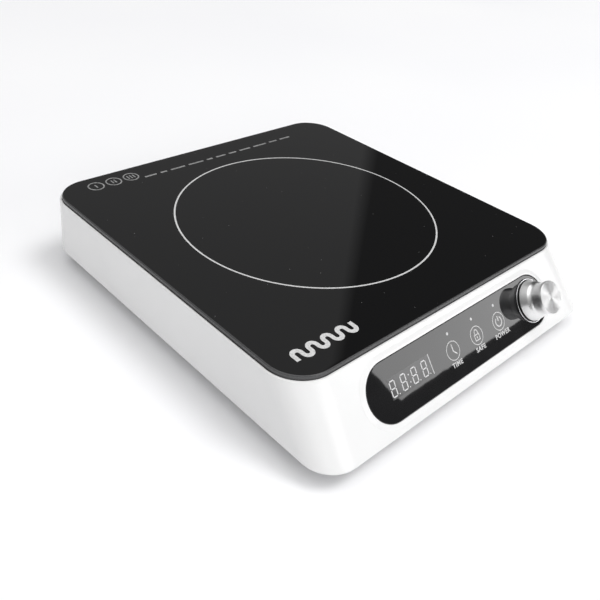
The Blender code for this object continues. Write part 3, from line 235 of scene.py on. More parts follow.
def windingWire():
    # lacquered litz: strands side by side round the coil, drawn 4 mm apart, coarser than real, to show
    look = {"light": "#b4683c", "dark": "#6e3a20", "pitch": 3.9584 * mm}
    material, tree, shader, place = newMaterial("lacqueredLitz", {"Metallic": 0.85, "Roughness": 0.38})
    rings = {
        "wave_type": "RINGS", "rings_direction": "Z", "Scale": tau / 20 / look["pitch"],  # 20 turns a unit
        "Distortion": 0.6, "Detail": 1.0,
    }
    strands = addNode(tree, "ShaderNodeTexWave", rings, {"Vector": place}).outputs["Fac"]
    drive(tree, shader, strands, [(0.2, look["dark"]), (0.8, look["light"])], relief=0.2 * mm)
    return material


materials = {
    "whiteAbs": mouldedAbs(),
    "greyAbs": texturedAbs("sparkTexturedAbs", "#b9b9ba", "#a9a9aa"),
    "glass": ceramicGlass(),
    # the plate's pencil-ground edge: finer than frosted and greyer than the face
    "glassEdge": grained(
        "groundGlassEdge", 1.2 * mm, 3.0, [(0.3, "#3c3c3d"), (0.7, "#484849")],
        {"Roughness": 0.16, "IOR": 1.54}, relief=0.01 * mm,
    ),
    # back-painted black acrylic: deep gloss with the slight waviness of an injection-moulded lens
    "lens": grained(
        "backPaintedAcrylic", 22 * mm, 2.0, [(0.3, "#131314"), (0.7, "#19191a")],
        {"Roughness": 0.025, "IOR": 1.49}, relief=0.02 * mm,
    ),
    "ink": screenInk("whiteCeramicInk", "#dcdcdc", "#c4c4c4"),
    "worn": screenInk("thinCeramicInk", "#9c9c9c", "#747474"),
    "panelInk": screenInk("whitePanelInk", "#c9c9c9", "#b4b4b4"),
    "segment": screenInk("diffusedSegment", "#d2d2d3", "#c2c2c3"),
    "window": speckled("smokedDisplayWindow", "#39393a", "#2f2f30", 6 * mm, 0.08, 1.49),  # smoked acrylic
    "knobSide": turnedAluminium("turnedAluminiumSide", "#e6e6e6", "#f4f4f4", 0.3, 0.8, 900.0),
    "knobFace": turnedAluminium("spunAluminiumFace", "#eeeeee", "#f8f8f8", 0.42, 1.0, 1400.0),
    "chrome": platedMetal("brightChrome", "#e6e6e8", "#d4d4d6", 0.07),
    # near-black for the sleeve in the knob's gap: painted shade standing for the shadow down in the gap
    "gap": texturedAbs("paintedShadeGapSleeve", "#0c0c0c", "#080808", 0.4),
    # moulded rubber: soft black with a dusty grain
    "rubber": grained(
        "mouldedRubber", 0.5 * mm, 4.0, [(0.3, "#1b1b1b"), (0.75, "#2a2a2a")],
        {"Roughness": 0.75, "IOR": 1.52}, relief=0.02 * mm,
    ),
    "silicone": speckled("translucentSilicone", "#a8a8a6", "#9a9a98", 1.5 * mm, 0.6),  # milky and dull
    "zinc": platedMetal("zincPlatedSteel", "#b8b9bd", "#9c9da2", 0.34, 1.5 * mm),
    "brass": platedMetal("turnedBrass", "#c8a464", "#b08a4a", 0.3, 2 * mm),
    "extruded": platedMetal("extrudedAluminium", "#c2c3c5", "#b0b1b4", 0.32, 4 * mm),
    "board": circuitBoard(),
    "pbt": texturedAbs("glassFilledPbt", "#2a2a2a", "#1e1e1e", 0.55),  # fibres dull the black
    "epoxy": speckled("mouldedEpoxy", "#242426", "#1b1b1c", 0.8 * mm, 0.45),  # chip packages
    "film": speckled("dippedFilmCapacitor", "#2a4f96", "#234485", 2 * mm, 0.3),  # blue dip coat
    "clear": speckled("clearCastEpoxy", "#d8d8d4", "#c6c6c2", 2 * mm, 0.12, 1.55),  # lamp and fuse bodies
    "litz": windingWire(),
    "mica": speckled("pressedMica", "#b9ae90", "#a09474", 2.5 * mm, 0.35),  # pressed flakes, faintly shiny
    "ferrite": speckled("sinteredFerrite", "#3a3a3c", "#2c2c2e", 0.6 * mm, 0.6),  # dark, stony
    "sleeve": texturedAbs("siliconeSleeve", "#b8b4ac", "#a8a49c", 0.6),
    "ribbon": speckled("flatRibbon", "#8d8d90", "#7c7c80", 1.3 * mm, 0.5),
}
print("materials made:", len(materials))


# surfaces on grids

def gridFaces(rows, columns, wrapRows, wrapColumns, offset=0):
    # quads between neighbouring rows and columns of vertices, where vertex (r, c) is number r * columns + c
    r = np.arange(rows if wrapRows else rows - 1)
    c = np.arange(columns if wrapColumns else columns - 1)
    r, c = np.meshgrid(r, c, indexing="ij")
    nextR, nextC = (r + 1) % rows, (c + 1) % columns
    corners = (r * columns + c, r * columns + nextC, nextR * columns + nextC, nextR * columns + c)
    return (np.stack(corners, -1).reshape(-1, 4) + offset).tolist()


def ringSolid(rows, wrapRows=False):
    # a stack of closed outlines joined by quads, capped at both ends unless the stack closes on itself
    rows = np.asarray(rows)
    count, around = rows.shape[:2]
    faces = gridFaces(count, around, wrapRows, True)
    if not wrapRows:
        faces.append(list(range(around))[::-1])
        faces.append([(count - 1) * around + i for i in range(around)])
    return rows.reshape(-1, 3), faces


def addObject(name, data):
    obj = bpy.data.objects.new(name, data)
    bpy.context.scene.collection.objects.link(obj)
    return obj


def newSolid(name, points, faces):
    # a closed mesh with its doubles merged and its faces turned outwards
    mesh = bpy.data.meshes.new(name)
    mesh.from_pydata(np.asarray(points).reshape(-1, 3).tolist(), [], faces)
    bm = bmesh.new()
    bm.from_mesh(mesh)
    bmesh.ops.remove_doubles(bm, verts=bm.verts, dist=1e-7)
    bmesh.ops.recalc_face_normals(bm, faces=bm.faces)
    bm.to_mesh(mesh)
    bm.free()
    return addObject(name, mesh)


def makePiece(name, points, faces, stuff, body, sharp=32):
    obj = newSolid(name, points, faces)
    for material in stuff if isinstance(stuff, list) else [stuff]:
        obj.data.materials.append(material)
    obj.data.shade_smooth()
    obj.data.set_sharp_from_angle(angle=math.radians(sharp))
    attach(obj, body)
    return obj


def baked(obj):
    # puts the modifiers' result into the mesh
    graph = bpy.context.evaluated_depsgraph_get()
    whole = obj.evaluated_get(graph)
    mesh = bpy.data.meshes.new_from_object(whole, preserve_all_data_layers=True, depsgraph=graph)
    obj.modifiers.clear()
    old = obj.data
    obj.data = mesh
    mesh.name = old.name


def carve(obj, helpers, operation="DIFFERENCE"):
    # cuts or joins helper solids, given as name: stack of outlines
    solids = [newSolid(name, *ringSolid(rows)) for name, rows in helpers.items()]
    for helper in solids:
        modifier = obj.modifiers.new(helper.name, "BOOLEAN")
        modifier.operation = operation
        modifier.object = helper
        modifier.solver = "EXACT"
    baked(obj)
    for helper in solids:
        bpy.data.objects.remove(helper)


def smoothArea(obj, angle=32):
    # flat faces keep flat shading where they meet rounded ones: normals weighted by face area
    obj.data.shade_smooth()
    obj.data.set_sharp_from_angle(angle=math.radians(angle))
    modifier = obj.modifiers.new("areaNormals", "WEIGHTED_NORMAL")
    modifier.keep_sharp = True
    modifier.weight = 80
    baked(obj)


def outline(half, front, rear, frontRadius, rearRadius, steps=24, guard=1.5 * mm):
    # rectangle with round corners: four quarter circles joined by straight lines, with a guard point
    # on the line just before and after each
    turn = np.linspace(0, tau / 4, steps + 1)
    corners = (
        (half - rearRadius, rear - rearRadius, rearRadius, 0),
        (-half + rearRadius, rear - rearRadius, rearRadius, 1),
        (-half + frontRadius, front + frontRadius, frontRadius, 2),
        (half - frontRadius, front + frontRadius, frontRadius, 3),
    )
    points = []
    for x, y, radius, quarter in corners:
        start = quarter * tau / 4
        arc = np.stack([x + radius * np.cos(turn + start), y + radius * np.sin(turn + start)], -1)
        lead = np.array([np.sin(start), -np.cos(start)]) * guard
        tail = np.array([-np.cos(start), -np.sin(start)]) * guard
        points += [arc[:1] + lead, arc, arc[-1:] + tail]
    return np.concatenate(points)


def circle(radius, steps, centre=(0, 0)):
    # centre + radius * (cos a, sin a), once round
    angle = np.arange(steps) * tau / steps
    return np.stack([np.cos(angle), np.sin(angle)], -1) * radius + centre


def capsule(length, height, steps=40):
    # two half circles joined by straight lines
    radius = height / 2
    angle = np.linspace(-tau / 4, tau / 4, steps + 1)
    right = np.stack([length / 2 - radius + radius * np.cos(angle), radius * np.sin(angle)], -1)
    return np.concatenate([right, -right])


def quarterRound(radius, steps):
    # how far an edge round has gone each way: radius * (1 - cos a, 1 - sin a), a from 0 to a quarter turn
    angle = np.linspace(0, tau / 4, steps)
    return np.stack([1 - np.cos(angle), 1 - np.sin(angle)], -1) * radius


def onPanel(flat, height):
    # (across, up the slope) points at a height above the slope, in the object's frame
    flat = np.asarray(flat, float)
    height = np.broadcast_to(np.asarray(height, float), flat.shape[:-1])
    across = flat[..., :1] * np.array([1.0, 0.0, 0.0])
    return panelMiddle + across + flat[..., 1:] * panelUp + height[..., None] * panelNormal


def lensOutline(grow, height):
    # the lens's capsule, larger all round by grow
    return onPanel(capsule(lensSize[0] + 2 * grow, lensSize[1] + 2 * grow), height)


def atLevel(flat, z):
    flat = np.asarray(flat, float)
    return np.concatenate([flat, np.broadcast_to(z, flat.shape[:-1])[..., None]], -1)


def throughRear(flat, depths):
    # an outline (across, up) stood upright, once at each depth
    return [np.stack([flat[:, 0], np.full(len(flat), y), flat[:, 1]], -1) for y in depths]


def rounded(points, radii, steps=5):
    # a polyline whose corners become quadratic curves, (1 - t)^2 start + 2 t (1 - t) corner + t^2 end
    result = [np.asarray(points[0], float)]
    for before, here, after, reach in zip(points, points[1:], points[2:], radii):
        before, here, after = (np.asarray(p, float) for p in (before, here, after))
        start = here + (before - here) / np.linalg.norm(before - here) * reach
        end = here + (after - here) / np.linalg.norm(after - here) * reach
        t = np.linspace(0, 1, steps + 1)[:, None]
        result += list((1 - t) ** 2 * start + 2 * t * (1 - t) * here + t ** 2 * end)
    result.append(np.asarray(points[-1], float))
    return np.array(result)


def turnedPiece(name, profile, centre, axis, stuff, body, around=128, closed=False):
    # a profile of (radius r, height h) carried round an axis: centre + r (side cos a + other sin a) + h axis
    profile = np.asarray(profile, float)
    centre, axis, side = np.asarray(centre), np.asarray(axis, float), np.array([1.0, 0.0, 0.0])
    other = np.cross(axis, side)
    angle = np.arange(around) * tau / around
    ring = np.cos(angle)[:, None] * side + np.sin(angle)[:, None] * other
    rows = centre + profile[:, None, :1] * ring[None] + profile[:, None, 1:] * axis
    faces = gridFaces(len(rows), around, closed, True)
    if not closed:
        for row in (0, len(rows) - 1):
            if profile[row][0] > 1e-9:
                faces.append([row * around + i for i in range(around)])
    obj = makePiece(name, rows, faces, stuff, body)
    turningMap(obj, centre, axis, side, other)
    return obj


def turningMap(obj, centre, axis, side, other):
    # u is the angle in turns, v is height less radius in steps of 30 mm, so tool rings run along u
    points = meshPoints(obj) - centre
    angle = np.arctan2(points @ other, points @ side) / tau % 1.0
    height = points @ axis
    radius = np.linalg.norm(points - height[:, None] * axis, axis=1)
    loops = readAll(obj.data.loops, "vertex_index", kind=np.int32)
    starts = readAll(obj.data.polygons, "loop_start", kind=np.int32)
    totals = readAll(obj.data.polygons, "loop_total", kind=np.int32)
    polar = radius[loops[starts]] < 1e-6  # a corner on the axis has no angle of its own
    first = np.repeat(angle[loops[starts + polar]], totals)
    u = angle[loops]
    u = u + (first - u > 0.5) - (u - first > 0.5)  # keeps each face's corners on one side of the seam
    pole = radius[loops] < 1e-6
    u[pole] = first[pole]
    v = (height - radius)[loops] / (30 * mm)
    layer = obj.data.uv_layers.new(name="turning")
    layer.data.foreach_set("uv", np.stack([u, v], -1).ravel().astype(np.float32))


# upper housing
housing = {
    "wall": 2.5 * mm, "frontWall": 3.2 * mm, "rimRound": 0.8 * mm, "rimEase": 0.25 * mm,
    "edgeRound": 1.8 * mm, "sideFlare": 2 * mm, "rearFlare": 4 * mm, "frontFlare": 34.5 * mm,
    "frontCorner": 22 * mm, "rearCorner": 30 * mm, "glassCorner": 25 * mm, "glassGap": 0.4 * mm,
    "rimWide": 1.6 * mm, "ledge": 2.2 * mm, "ledgeReach": 12.4 * mm, "ledgeCorner": 30 * mm,
    "sealGap": 0.3 * mm, "land": 1.3 * mm, "bevel": 3 * mm, "lensRoom": 0.3 * mm,
    "slots": 15, "slotPitch": 8 * mm, "slotSize": (3 * mm, 14 * mm), "slotMiddle": (-34 * mm, 28 * mm),
    "glandSeat": (9.45 * mm, 2.3 * mm), "glandHole": 6.3 * mm,
}
bottomHalf, _, rimTop = (float(size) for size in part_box("upper_housing")[1])
trayLow = float(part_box("base_tray")[0][2])
shellBottom = trayLow + 4 * mm
shoulder = rimTop - housing["rimRound"]
topHalf = bottomHalf - housing["sideFlare"]
pocketHalf = topHalf - housing["rimWide"]
topCorner = housing["glassCorner"] + topHalf - (glassHigh[0] - glassLow[0]) / 2
slopeFall = float(-panelNormal[1])


def bodyOutline(height, share, inset, front):
    # each size is bottom + (top - bottom) * share - inset, with share 0 at the bottom edge, 1 at the shoulder
    half = bottomHalf + (topHalf - bottomHalf) * share - inset
    frontY = topHalf + housing["frontFlare"] * (1 - share) - front
    rearY = topHalf + housing["rearFlare"] * (1 - share) - inset
    frontRadius = housing["frontCorner"] + (topCorner - housing["frontCorner"]) * share - inset
    rearRadius = housing["rearCorner"] + (topCorner - housing["rearCorner"]) * share - inset
    return atLevel(outline(half, -frontY, rearY, frontRadius, rearRadius) + (0, middleY), height)


def shellOutline(height, inset=0.0, front=0.0):
    # share grows straight with height, so the corners are parts of cones; front is taken square to the slope
    share = (height - shellBottom) / (shoulder - shellBottom)
    return bodyOutline(height, share, inset, front / slopeFall)


def squareOutline(half, corner, height):
    return atLevel(outline(half, -half, half, corner, corner) + (0, middleY), height)


def makeHousing():
    # one skin: outlines stacked up the inside, over the rim and down the outside, closed on themselves
    h = housing
    ledgeTop = float(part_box("glass_seal")[0][2]) - h["sealGap"]
    ledgeLow = ledgeTop - h["ledge"]
    ledgeHalf = pocketHalf - h["ledgeReach"]
    pocketCorner = h["glassCorner"] + h["glassGap"]
    ease = h["rimEase"]
    rows = [
        shellOutline(shellBottom, h["wall"], h["frontWall"]),
        shellOutline(ledgeLow, h["wall"], h["frontWall"]),
        squareOutline(ledgeHalf, h["ledgeCorner"], ledgeLow),
        squareOutline(ledgeHalf, h["ledgeCorner"], ledgeTop),
        squareOutline(pocketHalf, pocketCorner, ledgeTop),
        squareOutline(pocketHalf, pocketCorner, rimTop - ease),
    ]
    for out, drop in quarterRound(ease, 4)[1:]:  # small round on the rim's inner edge
        rows.append(squareOutline(pocketHalf + out, pocketCorner + ease, rimTop - drop))
    for drop, into in quarterRound(h["rimRound"], 7):  # the rim's outer fillet
        rows.append(squareOutline(topHalf - into, topCorner - into, rimTop - drop))
    rows.append(shellOutline(shoulder - 1.2 * mm))  # guard outlines keep the wall's shading flat
    rows.append(shellOutline(shellBottom + h["edgeRound"] + 1.2 * mm))
    for into, rise in quarterRound(h["edgeRound"], 6):  # round on the bottom edge
        rows.append(shellOutline(shellBottom + rise, into, into))
    points, faces = ringSolid(rows, wrapRows=True)
    shell = makePiece("housing_shell", points, faces, materials["whiteAbs"], "body", sharp=40)

    foot, land = h["land"] + h["bevel"], h["land"]
    pad = [lensOutline(foot, -1.2 * mm), lensOutline(foot, 0.02 * mm)]
    pad += [lensOutline(land + 0.25 * h["bevel"], 0.9 * lensTop), lensOutline(land, lensTop)]
    carve(shell, {"pad": pad}, "UNION")
    room = h["lensRoom"]
    cutters = {"pocket": [lensOutline(room, height) for height in (lensBottom - room, 6 * mm)]}
    width, tall = h["slotSize"]
    slotX, slotZ = h["slotMiddle"]
    rearY = topHalf + middleY
    for index in range(h["slots"]):
        x = slotX + (index - (h["slots"] - 1) / 2) * h["slotPitch"]
        slot = capsule(tall, width, 8)[:, ::-1] + (x, slotZ)
        cutters[f"slot{index}"] = throughRear(slot, (rearY - 8 * mm, rearY + 8 * mm))
    gland = np.array(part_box("cord_gland"))
    middle = gland.mean(0)[[0, 2]]
    seat, seatDepth = h["glandSeat"]
    outside = gland[1][1] + 8 * mm
    cutters["seat"] = throughRear(circle(seat, 64, middle), (gland[1][1] - seatDepth, outside))
    cutters["hole"] = throughRear(circle(h["glandHole"], 64, middle), (gland[0][1] - 8 * mm, outside))
    carve(shell, cutters)
    smoothArea(shell, 30)
    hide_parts("upper_housing")


makeHousing()
print("housing made")


# glass plate with a pencil-ground edge, and what is printed on it
plate = {"corner": 25 * mm, "round": 0.9 * mm, "lowerRound": 0.4 * mm, "flat": 0.995}


def makeGlass():
    # square outlines stacked from the underside to the top, drawn in by a quarter round at both edges
    half, corner = (glassHigh[0] - glassLow[0]) / 2, plate["corner"]
    low = float(glassLow[2])
    rows = [squareOutline(half - 3 * mm, corner - 3 * mm, low)]
    for rise, into in quarterRound(plate["lowerRound"], 4):
        rows.append(squareOutline(half - into, corner - into, low + rise))
    for into, drop in quarterRound(plate["round"], 7):
        rows.append(squareOutline(half - into, corner - into, glassTop - drop))
    into = plate["round"] + 2 * mm
    rows.append(squareOutline(half - into, corner - into, glassTop))
    points, faces = ringSolid(rows)
    stuff = [materials["glass"], materials["glassEdge"]]
    glass = makePiece("glass_top", points, faces, stuff, "body", sharp=60)
    edge = np.abs(readAll(glass.data.polygons, "normal", 3)[:, 2]) < plate["flat"]
    glass.data.polygons.foreach_set("material_index", edge.astype(np.int32))
    smoothArea(glass, 60)
    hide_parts("glass_plate")


makeGlass()


def flatPrint(name, strokes, place, stuff, thick=0.03 * mm):
    # ink as thin closed ribbons: each stroke is (path, widths, closed), swept with a flat rectangle; its edges
    # are path +- width / 2 * normal, the normal stretched by 1 / cos(half the bend) at corners
    points, faces, start = [], [], 0
    for path, widths, closed in strokes:
        path = np.asarray(path, float)
        after, before = np.roll(path, -1, 0) - path, path - np.roll(path, 1, 0)
        if not closed:
            after[-1], before[0] = before[-1], after[0]
        after /= np.linalg.norm(after, axis=1)[:, None]
        before /= np.linalg.norm(before, axis=1)[:, None]
        along = after + before
        stretch = 2 / (along ** 2).sum(1)
        half = (np.broadcast_to(widths, len(path)) / 2 * stretch)[:, None]
        out = np.stack([-along[:, 1], along[:, 0]], -1) * half
        left, right = path + out, path - out
        section = np.stack([place(left, 0.0), place(right, 0.0), place(right, thick), place(left, thick)], 1)
        count = len(path)
        points.append(section.reshape(-1, 3))
        faces += gridFaces(count, 4, closed, True, start)
        if not closed:
            faces += [[start + i for i in range(4)], [start + 4 * count - 4 + i for i in range(4)]]
        start += 4 * count
    makePiece(name, np.concatenate(points), faces, stuff, "body")


def ringStroke(radius, width, centre=(0, 0), steps=96):
    return (circle(radius, steps, centre), width, True)


def arcStroke(radius, width, start, end, centre=(0, 0), steps=40):
    # centre + radius * (cos a, sin a), from start to end
    angle = np.linspace(start, end, steps)
    return (np.stack([np.cos(angle), np.sin(angle)], -1) * radius + centre, width, False)


def lineStroke(points, width):
    return (points, width, False)


def dotStroke(centre, radius, steps=12):
    # a disc as a very short fat stroke: width = 2 * sqrt(radius^2 - t^2)
    t = np.sin(np.linspace(-0.49, 0.49, steps) * tau / 2) * radius
    path = np.stack([t, np.zeros(steps)], -1) + centre
    return (path, 2 * np.sqrt(radius ** 2 - t ** 2), False)


def onGlass(flat, height):
    return atLevel(flat + (0, middleY), glassTop + 0.01 * mm + height)


prints = {
    "zoneRadius": 100.65 * mm, "zoneLine": 1.25 * mm,
    "signMiddle": (-98.3 * mm, -119.9 * mm), "signSize": (52.5 * mm, 11.2 * mm), "signRuns": 9,
    "signLine": 3.1 * mm,
    "badges": (-109.3 * mm, -93.8 * mm, -78.2 * mm), "badgeY": 125.0 * mm, "badgeRadius": 6.0 * mm,
    "badgeLine": 1.1 * mm, "barPitch": 2.6 * mm, "barHalf": 2.6 * mm,
    "ruleY": 118.6 * mm, "ruleLine": 1.9 * mm, "ruleStart": -69 * mm, "ruleGap": 4,
    "rule": (11, 6, 14, 15, 6, 10, 8, 12, 15, 9, 12),  # dashes in mm
}


def heaterPath(middle, size, runs, line):
    # a heating element's zigzag: upright runs joined by half circles at alternate ends; bend n is centred
    # n + 1/2 pitches along, at the top where n is even, and radius * (cos a, sin a) carries it round
    wide, tall = size[0] - line, size[1] - line
    pitch = wide / (runs - 1)
    bend = np.arange(runs - 1)[:, None]
    up = 1 - 2 * (bend % 2)
    angle = np.linspace(tau / 2, 0, 15) * up
    x = (bend + 0.5) * pitch - wide / 2 + pitch / 2 * np.cos(angle)
    y = up * (tall - pitch) / 2 + pitch / 2 * np.sin(angle)
    last = (wide / 2, tall / 2 * (1 if runs % 2 else -1))
    return np.concatenate([[(-wide / 2, -tall / 2)], np.stack([x, y], -1).reshape(-1, 2), [last]]) + middle


def makePrints():
    ink = materials["ink"]
    ring = [ringStroke(prints["zoneRadius"], prints["zoneLine"], steps=256)]
    flatPrint("printed_zone_ring", ring, onGlass, ink)
    path = heaterPath(prints["signMiddle"], prints["signSize"], prints["signRuns"], prints["signLine"])
    flatPrint("printed_heater_sign", [lineStroke(path, prints["signLine"])], onGlass, ink)
    strokes = []
    line, y, half = prints["badgeLine"], prints["badgeY"], prints["barHalf"]
    for number, x in enumerate(prints["badges"]):
        strokes.append(ringStroke(prints["badgeRadius"], line, (x, y), 48))
        for bar in range(number + 1):  # one, two and three plain bars inside the rings
            across = x + (bar - number / 2) * prints["barPitch"]
            strokes.append(lineStroke([(across, y - half), (across, y + half)], line))
    x, y = prints["ruleStart"], prints["ruleY"]
    for length in prints["rule"]:  # a broken rule beside them
        strokes.append(lineStroke([(x, y), (x + length * mm, y)], prints["ruleLine"]))
        x += (length + prints["ruleGap"]) * mm
    flatPrint("printed_small_marks", strokes, onGlass, materials["worn"])


makePrints()
print("glass made")


# panel lens and its printed signs
lens = {"ease": 0.35 * mm, "bore": 4.3 * mm}


def onLens(flat, height):
    return onPanel(flat, lensTop + 0.01 * mm + height)


def makeLens():
    # capsules stacked along the slope's normal, drawn in by a quarter round at the face
    ease = lens["ease"]
    rows = [lensOutline(0, lensBottom)]
    rows += [lensOutline(-into, lensTop - drop) for into, drop in quarterRound(ease, 5)]
    rows.append(lensOutline(-ease - 0.5 * mm, lensTop))
    points, faces = ringSolid(rows)
    piece = makePiece("control_lens", points, faces, materials["lens"], "body")
    bore = circle(lens["bore"], 48, (knobX, 0))
    carve(piece, {"bore": [onPanel(bore, height) for height in (lensBottom - 1 * mm, lensTop + 1 * mm)]})
    smoothArea(piece)
    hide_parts("panel_lens")


makeLens()

signs = {
    "keys": (-15.5 * mm, 11.0 * mm, 37.2 * mm), "keyRing": 6.3 * mm, "line": 0.55 * mm,
    "lamp": 1.0 * mm, "lampUp": 11.85 * mm,
    "labels": ("time", "safe", "power"), "label": 3.1 * mm, "labelUp": -9.3 * mm, "labelBold": 0.16 * mm,
    "window": (-78.5 * mm, -38.7 * mm, -6.0 * mm, 7.5 * mm),
    "digitLeft": (-77.2 * mm, -67.4 * mm, -57.2 * mm, -47.2 * mm), "digitSize": (4.2 * mm, 9.8 * mm),
    "digitUp": 0.35 * mm, "lean": 0.06, "segment": 0.75 * mm, "segmentGap": 0.4 * mm,
    "point": (1.5 * mm, -4.4 * mm, 0.4 * mm), "colon": (-60.0 * mm, (-1.9 * mm, 2.9 * mm), 0.45 * mm),
    "hands": ((0, 4.6 * mm), (0, -0.4 * mm), (2.9 * mm, -3.2 * mm)), "handLine": 0.85 * mm,
    "lock": (2.4 * mm, -3.3 * mm, 0.6 * mm), "lockLine": 0.7 * mm, "bow": (1.6 * mm, 2.4 * mm, 1.0 * mm),
    "keyhole": (-2.2 * mm, -0.6 * mm, 0.9 * mm),
    "power": (3.3 * mm, -0.2 * mm), "powerGap": 70, "powerBar": (0.2 * mm, 3.9 * mm), "powerLine": 0.95 * mm,
}


def digitStrokes(left, middle):
    # seven thin bars of a figure eight, x sheared by lean * y, with small gaps where they meet
    wide, tall = signs["digitSize"]
    bars = [((0, y), (1, y)) for y in (0, 0.5, 1)]
    bars += [((x, y), (x, y + 0.5)) for x in (0, 1) for y in (0, 0.5)]
    strokes = []
    for bar in bars:
        x, y = np.array(bar).T
        up = (y - 0.5) * tall
        ends = np.stack([left + x * wide + signs["lean"] * up, middle + up], -1)
        along = (ends[1] - ends[0]) / np.linalg.norm(ends[1] - ends[0]) * signs["segmentGap"]
        strokes.append(lineStroke([ends[0] + along, ends[1] - along], signs["segment"]))
    return strokes


def textPiece(name, words, middle, stuff):
    # the built-in font's capitals, made a mesh and laid on the lens
    curve = bpy.data.curves.new(name, "FONT")
    curve.body = words
    curve.size = signs["label"] / 0.69  # capitals are about seven tenths of the font size
    curve.align_x = "CENTER"
    curve.align_y = "CENTER"
    curve.offset = signs["labelBold"]
    curve.space_character = 1.15
    curve.extrude = 0.015 * mm
    curve.resolution_u = 4
    helper = addObject(name + "_curve", curve)
    graph = bpy.context.evaluated_depsgraph_get()
    mesh = bpy.data.meshes.new_from_object(helper.evaluated_get(graph))
    bpy.data.objects.remove(helper)
    points = readAll(mesh.vertices, "co", 3).astype(float)
    points = onPanel(points[:, :2] + middle, lensTop + 0.025 * mm + points[:, 2])
    mesh.vertices.foreach_set("co", points.ravel().astype(np.float32))
    mesh.materials.clear()
    mesh.materials.append(stuff)
    obj = addObject(name, mesh)
    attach(obj, "body")


def makeSigns():
    ink = materials["panelInk"]
    x0, x1, y0, y1 = signs["window"]
    window = [lineStroke([(x0, (y0 + y1) / 2), (x1, (y0 + y1) / 2)], y1 - y0)]
    under = lambda flat, height: onPanel(flat, lensTop + 0.004 * mm + height)
    flatPrint("display_window", window, under, materials["window"], 0.004 * mm)
    strokes = [lineStroke([(x1, y0), (x1, y1)], signs["line"])]
    pointRight, pointUp, pointRadius = signs["point"]
    for left in signs["digitLeft"]:
        strokes += digitStrokes(left, signs["digitUp"])
        strokes.append(dotStroke((left + signs["digitSize"][0] + pointRight, pointUp), pointRadius))
    colonX, colonUp, colonRadius = signs["colon"]
    strokes += [dotStroke((colonX, up), colonRadius) for up in colonUp]
    flatPrint("display_segments", strokes, onLens, materials["segment"])
    keys = signs["keys"]
    rings = [ringStroke(signs["keyRing"], signs["line"], (x, 0)) for x in keys]
    flatPrint("key_rings", rings, onLens, ink)
    clock = np.array(signs["hands"]) + (keys[0], 0)
    flatPrint("clock_hands", [lineStroke(clock, signs["handLine"])], onLens, ink)
    x, line = keys[1], signs["lockLine"]
    half, low, high = signs["lock"]
    body = [(x - half, low), (x + half, low), (x + half, high), (x - half, high)]
    reach, bowUp, bowFoot = signs["bow"]
    arch = arcStroke(reach, line, 0, tau / 2, (x, bowUp), 20)[0]
    bow = np.concatenate([[(x + reach, bowFoot)], arch, [(x - reach, bowFoot)]])
    holeLow, holeHigh, holeLine = signs["keyhole"]
    lock = [(body, line, True), lineStroke(bow, line), lineStroke([(x, holeLow), (x, holeHigh)], holeLine)]
    flatPrint("padlock_sign", lock, onLens, ink)
    x, line = keys[2], signs["powerLine"]
    radius, middle = signs["power"]
    start = math.radians(90 + signs["powerGap"] / 2)
    end = math.radians(450 - signs["powerGap"] / 2)
    bar = [(x, up) for up in signs["powerBar"]]
    power = [arcStroke(radius, line, start, end, (x, middle)), lineStroke(bar, line)]
    flatPrint("power_sign", power, onLens, ink)
    lamps = [dotStroke((x, signs["lampUp"]), signs["lamp"]) for x in keys]
    flatPrint("lamp_windows", lamps, onLens, materials["segment"])
    for word, x in zip(signs["labels"], keys):
        textPiece("label_" + word, word.upper(), (x, signs["labelUp"]), ink)


makeSigns()
print("panel made")


# knob: stepped skirt, waisted grip and a spun face, over a chrome ring, with a black sleeve in the gap as
# painted shade
knobShape = {
    "height": 18 * mm, "skirt": 15.2 * mm, "grip": 12 * mm, "waist": 11.3 * mm, "base": 2.2 * mm,
    "faceRound": 2.0 * mm, "gripSide": 2.2 * mm, "gripFoot": 6.0 * mm, "waistFoot": 7.2 * mm,
    "stepFoot": (0.9 * mm, 5.9 * mm), "stepEdge": (2.0 * mm, 5.3 * mm), "skirtWall": 1.8 * mm,
    "rounds": (0.35 * mm, 0.8 * mm, 1.8 * mm, 0.7 * mm, 0.6 * mm, 0.5 * mm, 0.25 * mm),
    "nutRoom": (5.3 * mm, 4.4 * mm, 3.8 * mm), "bore": 2.9 * mm, "boreTop": 14 * mm,
    "ringOuter": 16.4 * mm, "ringWide": 0.75 * mm, "ringHigh": 1.1 * mm, "gapRadius": 14.8 * mm,
    "ringFlange": (13 * mm, 0.3 * mm, 0.7 * mm), "gapSleeve": (12.6 * mm, 0.8 * mm, 0.9 * mm, 0.05 * mm),
}


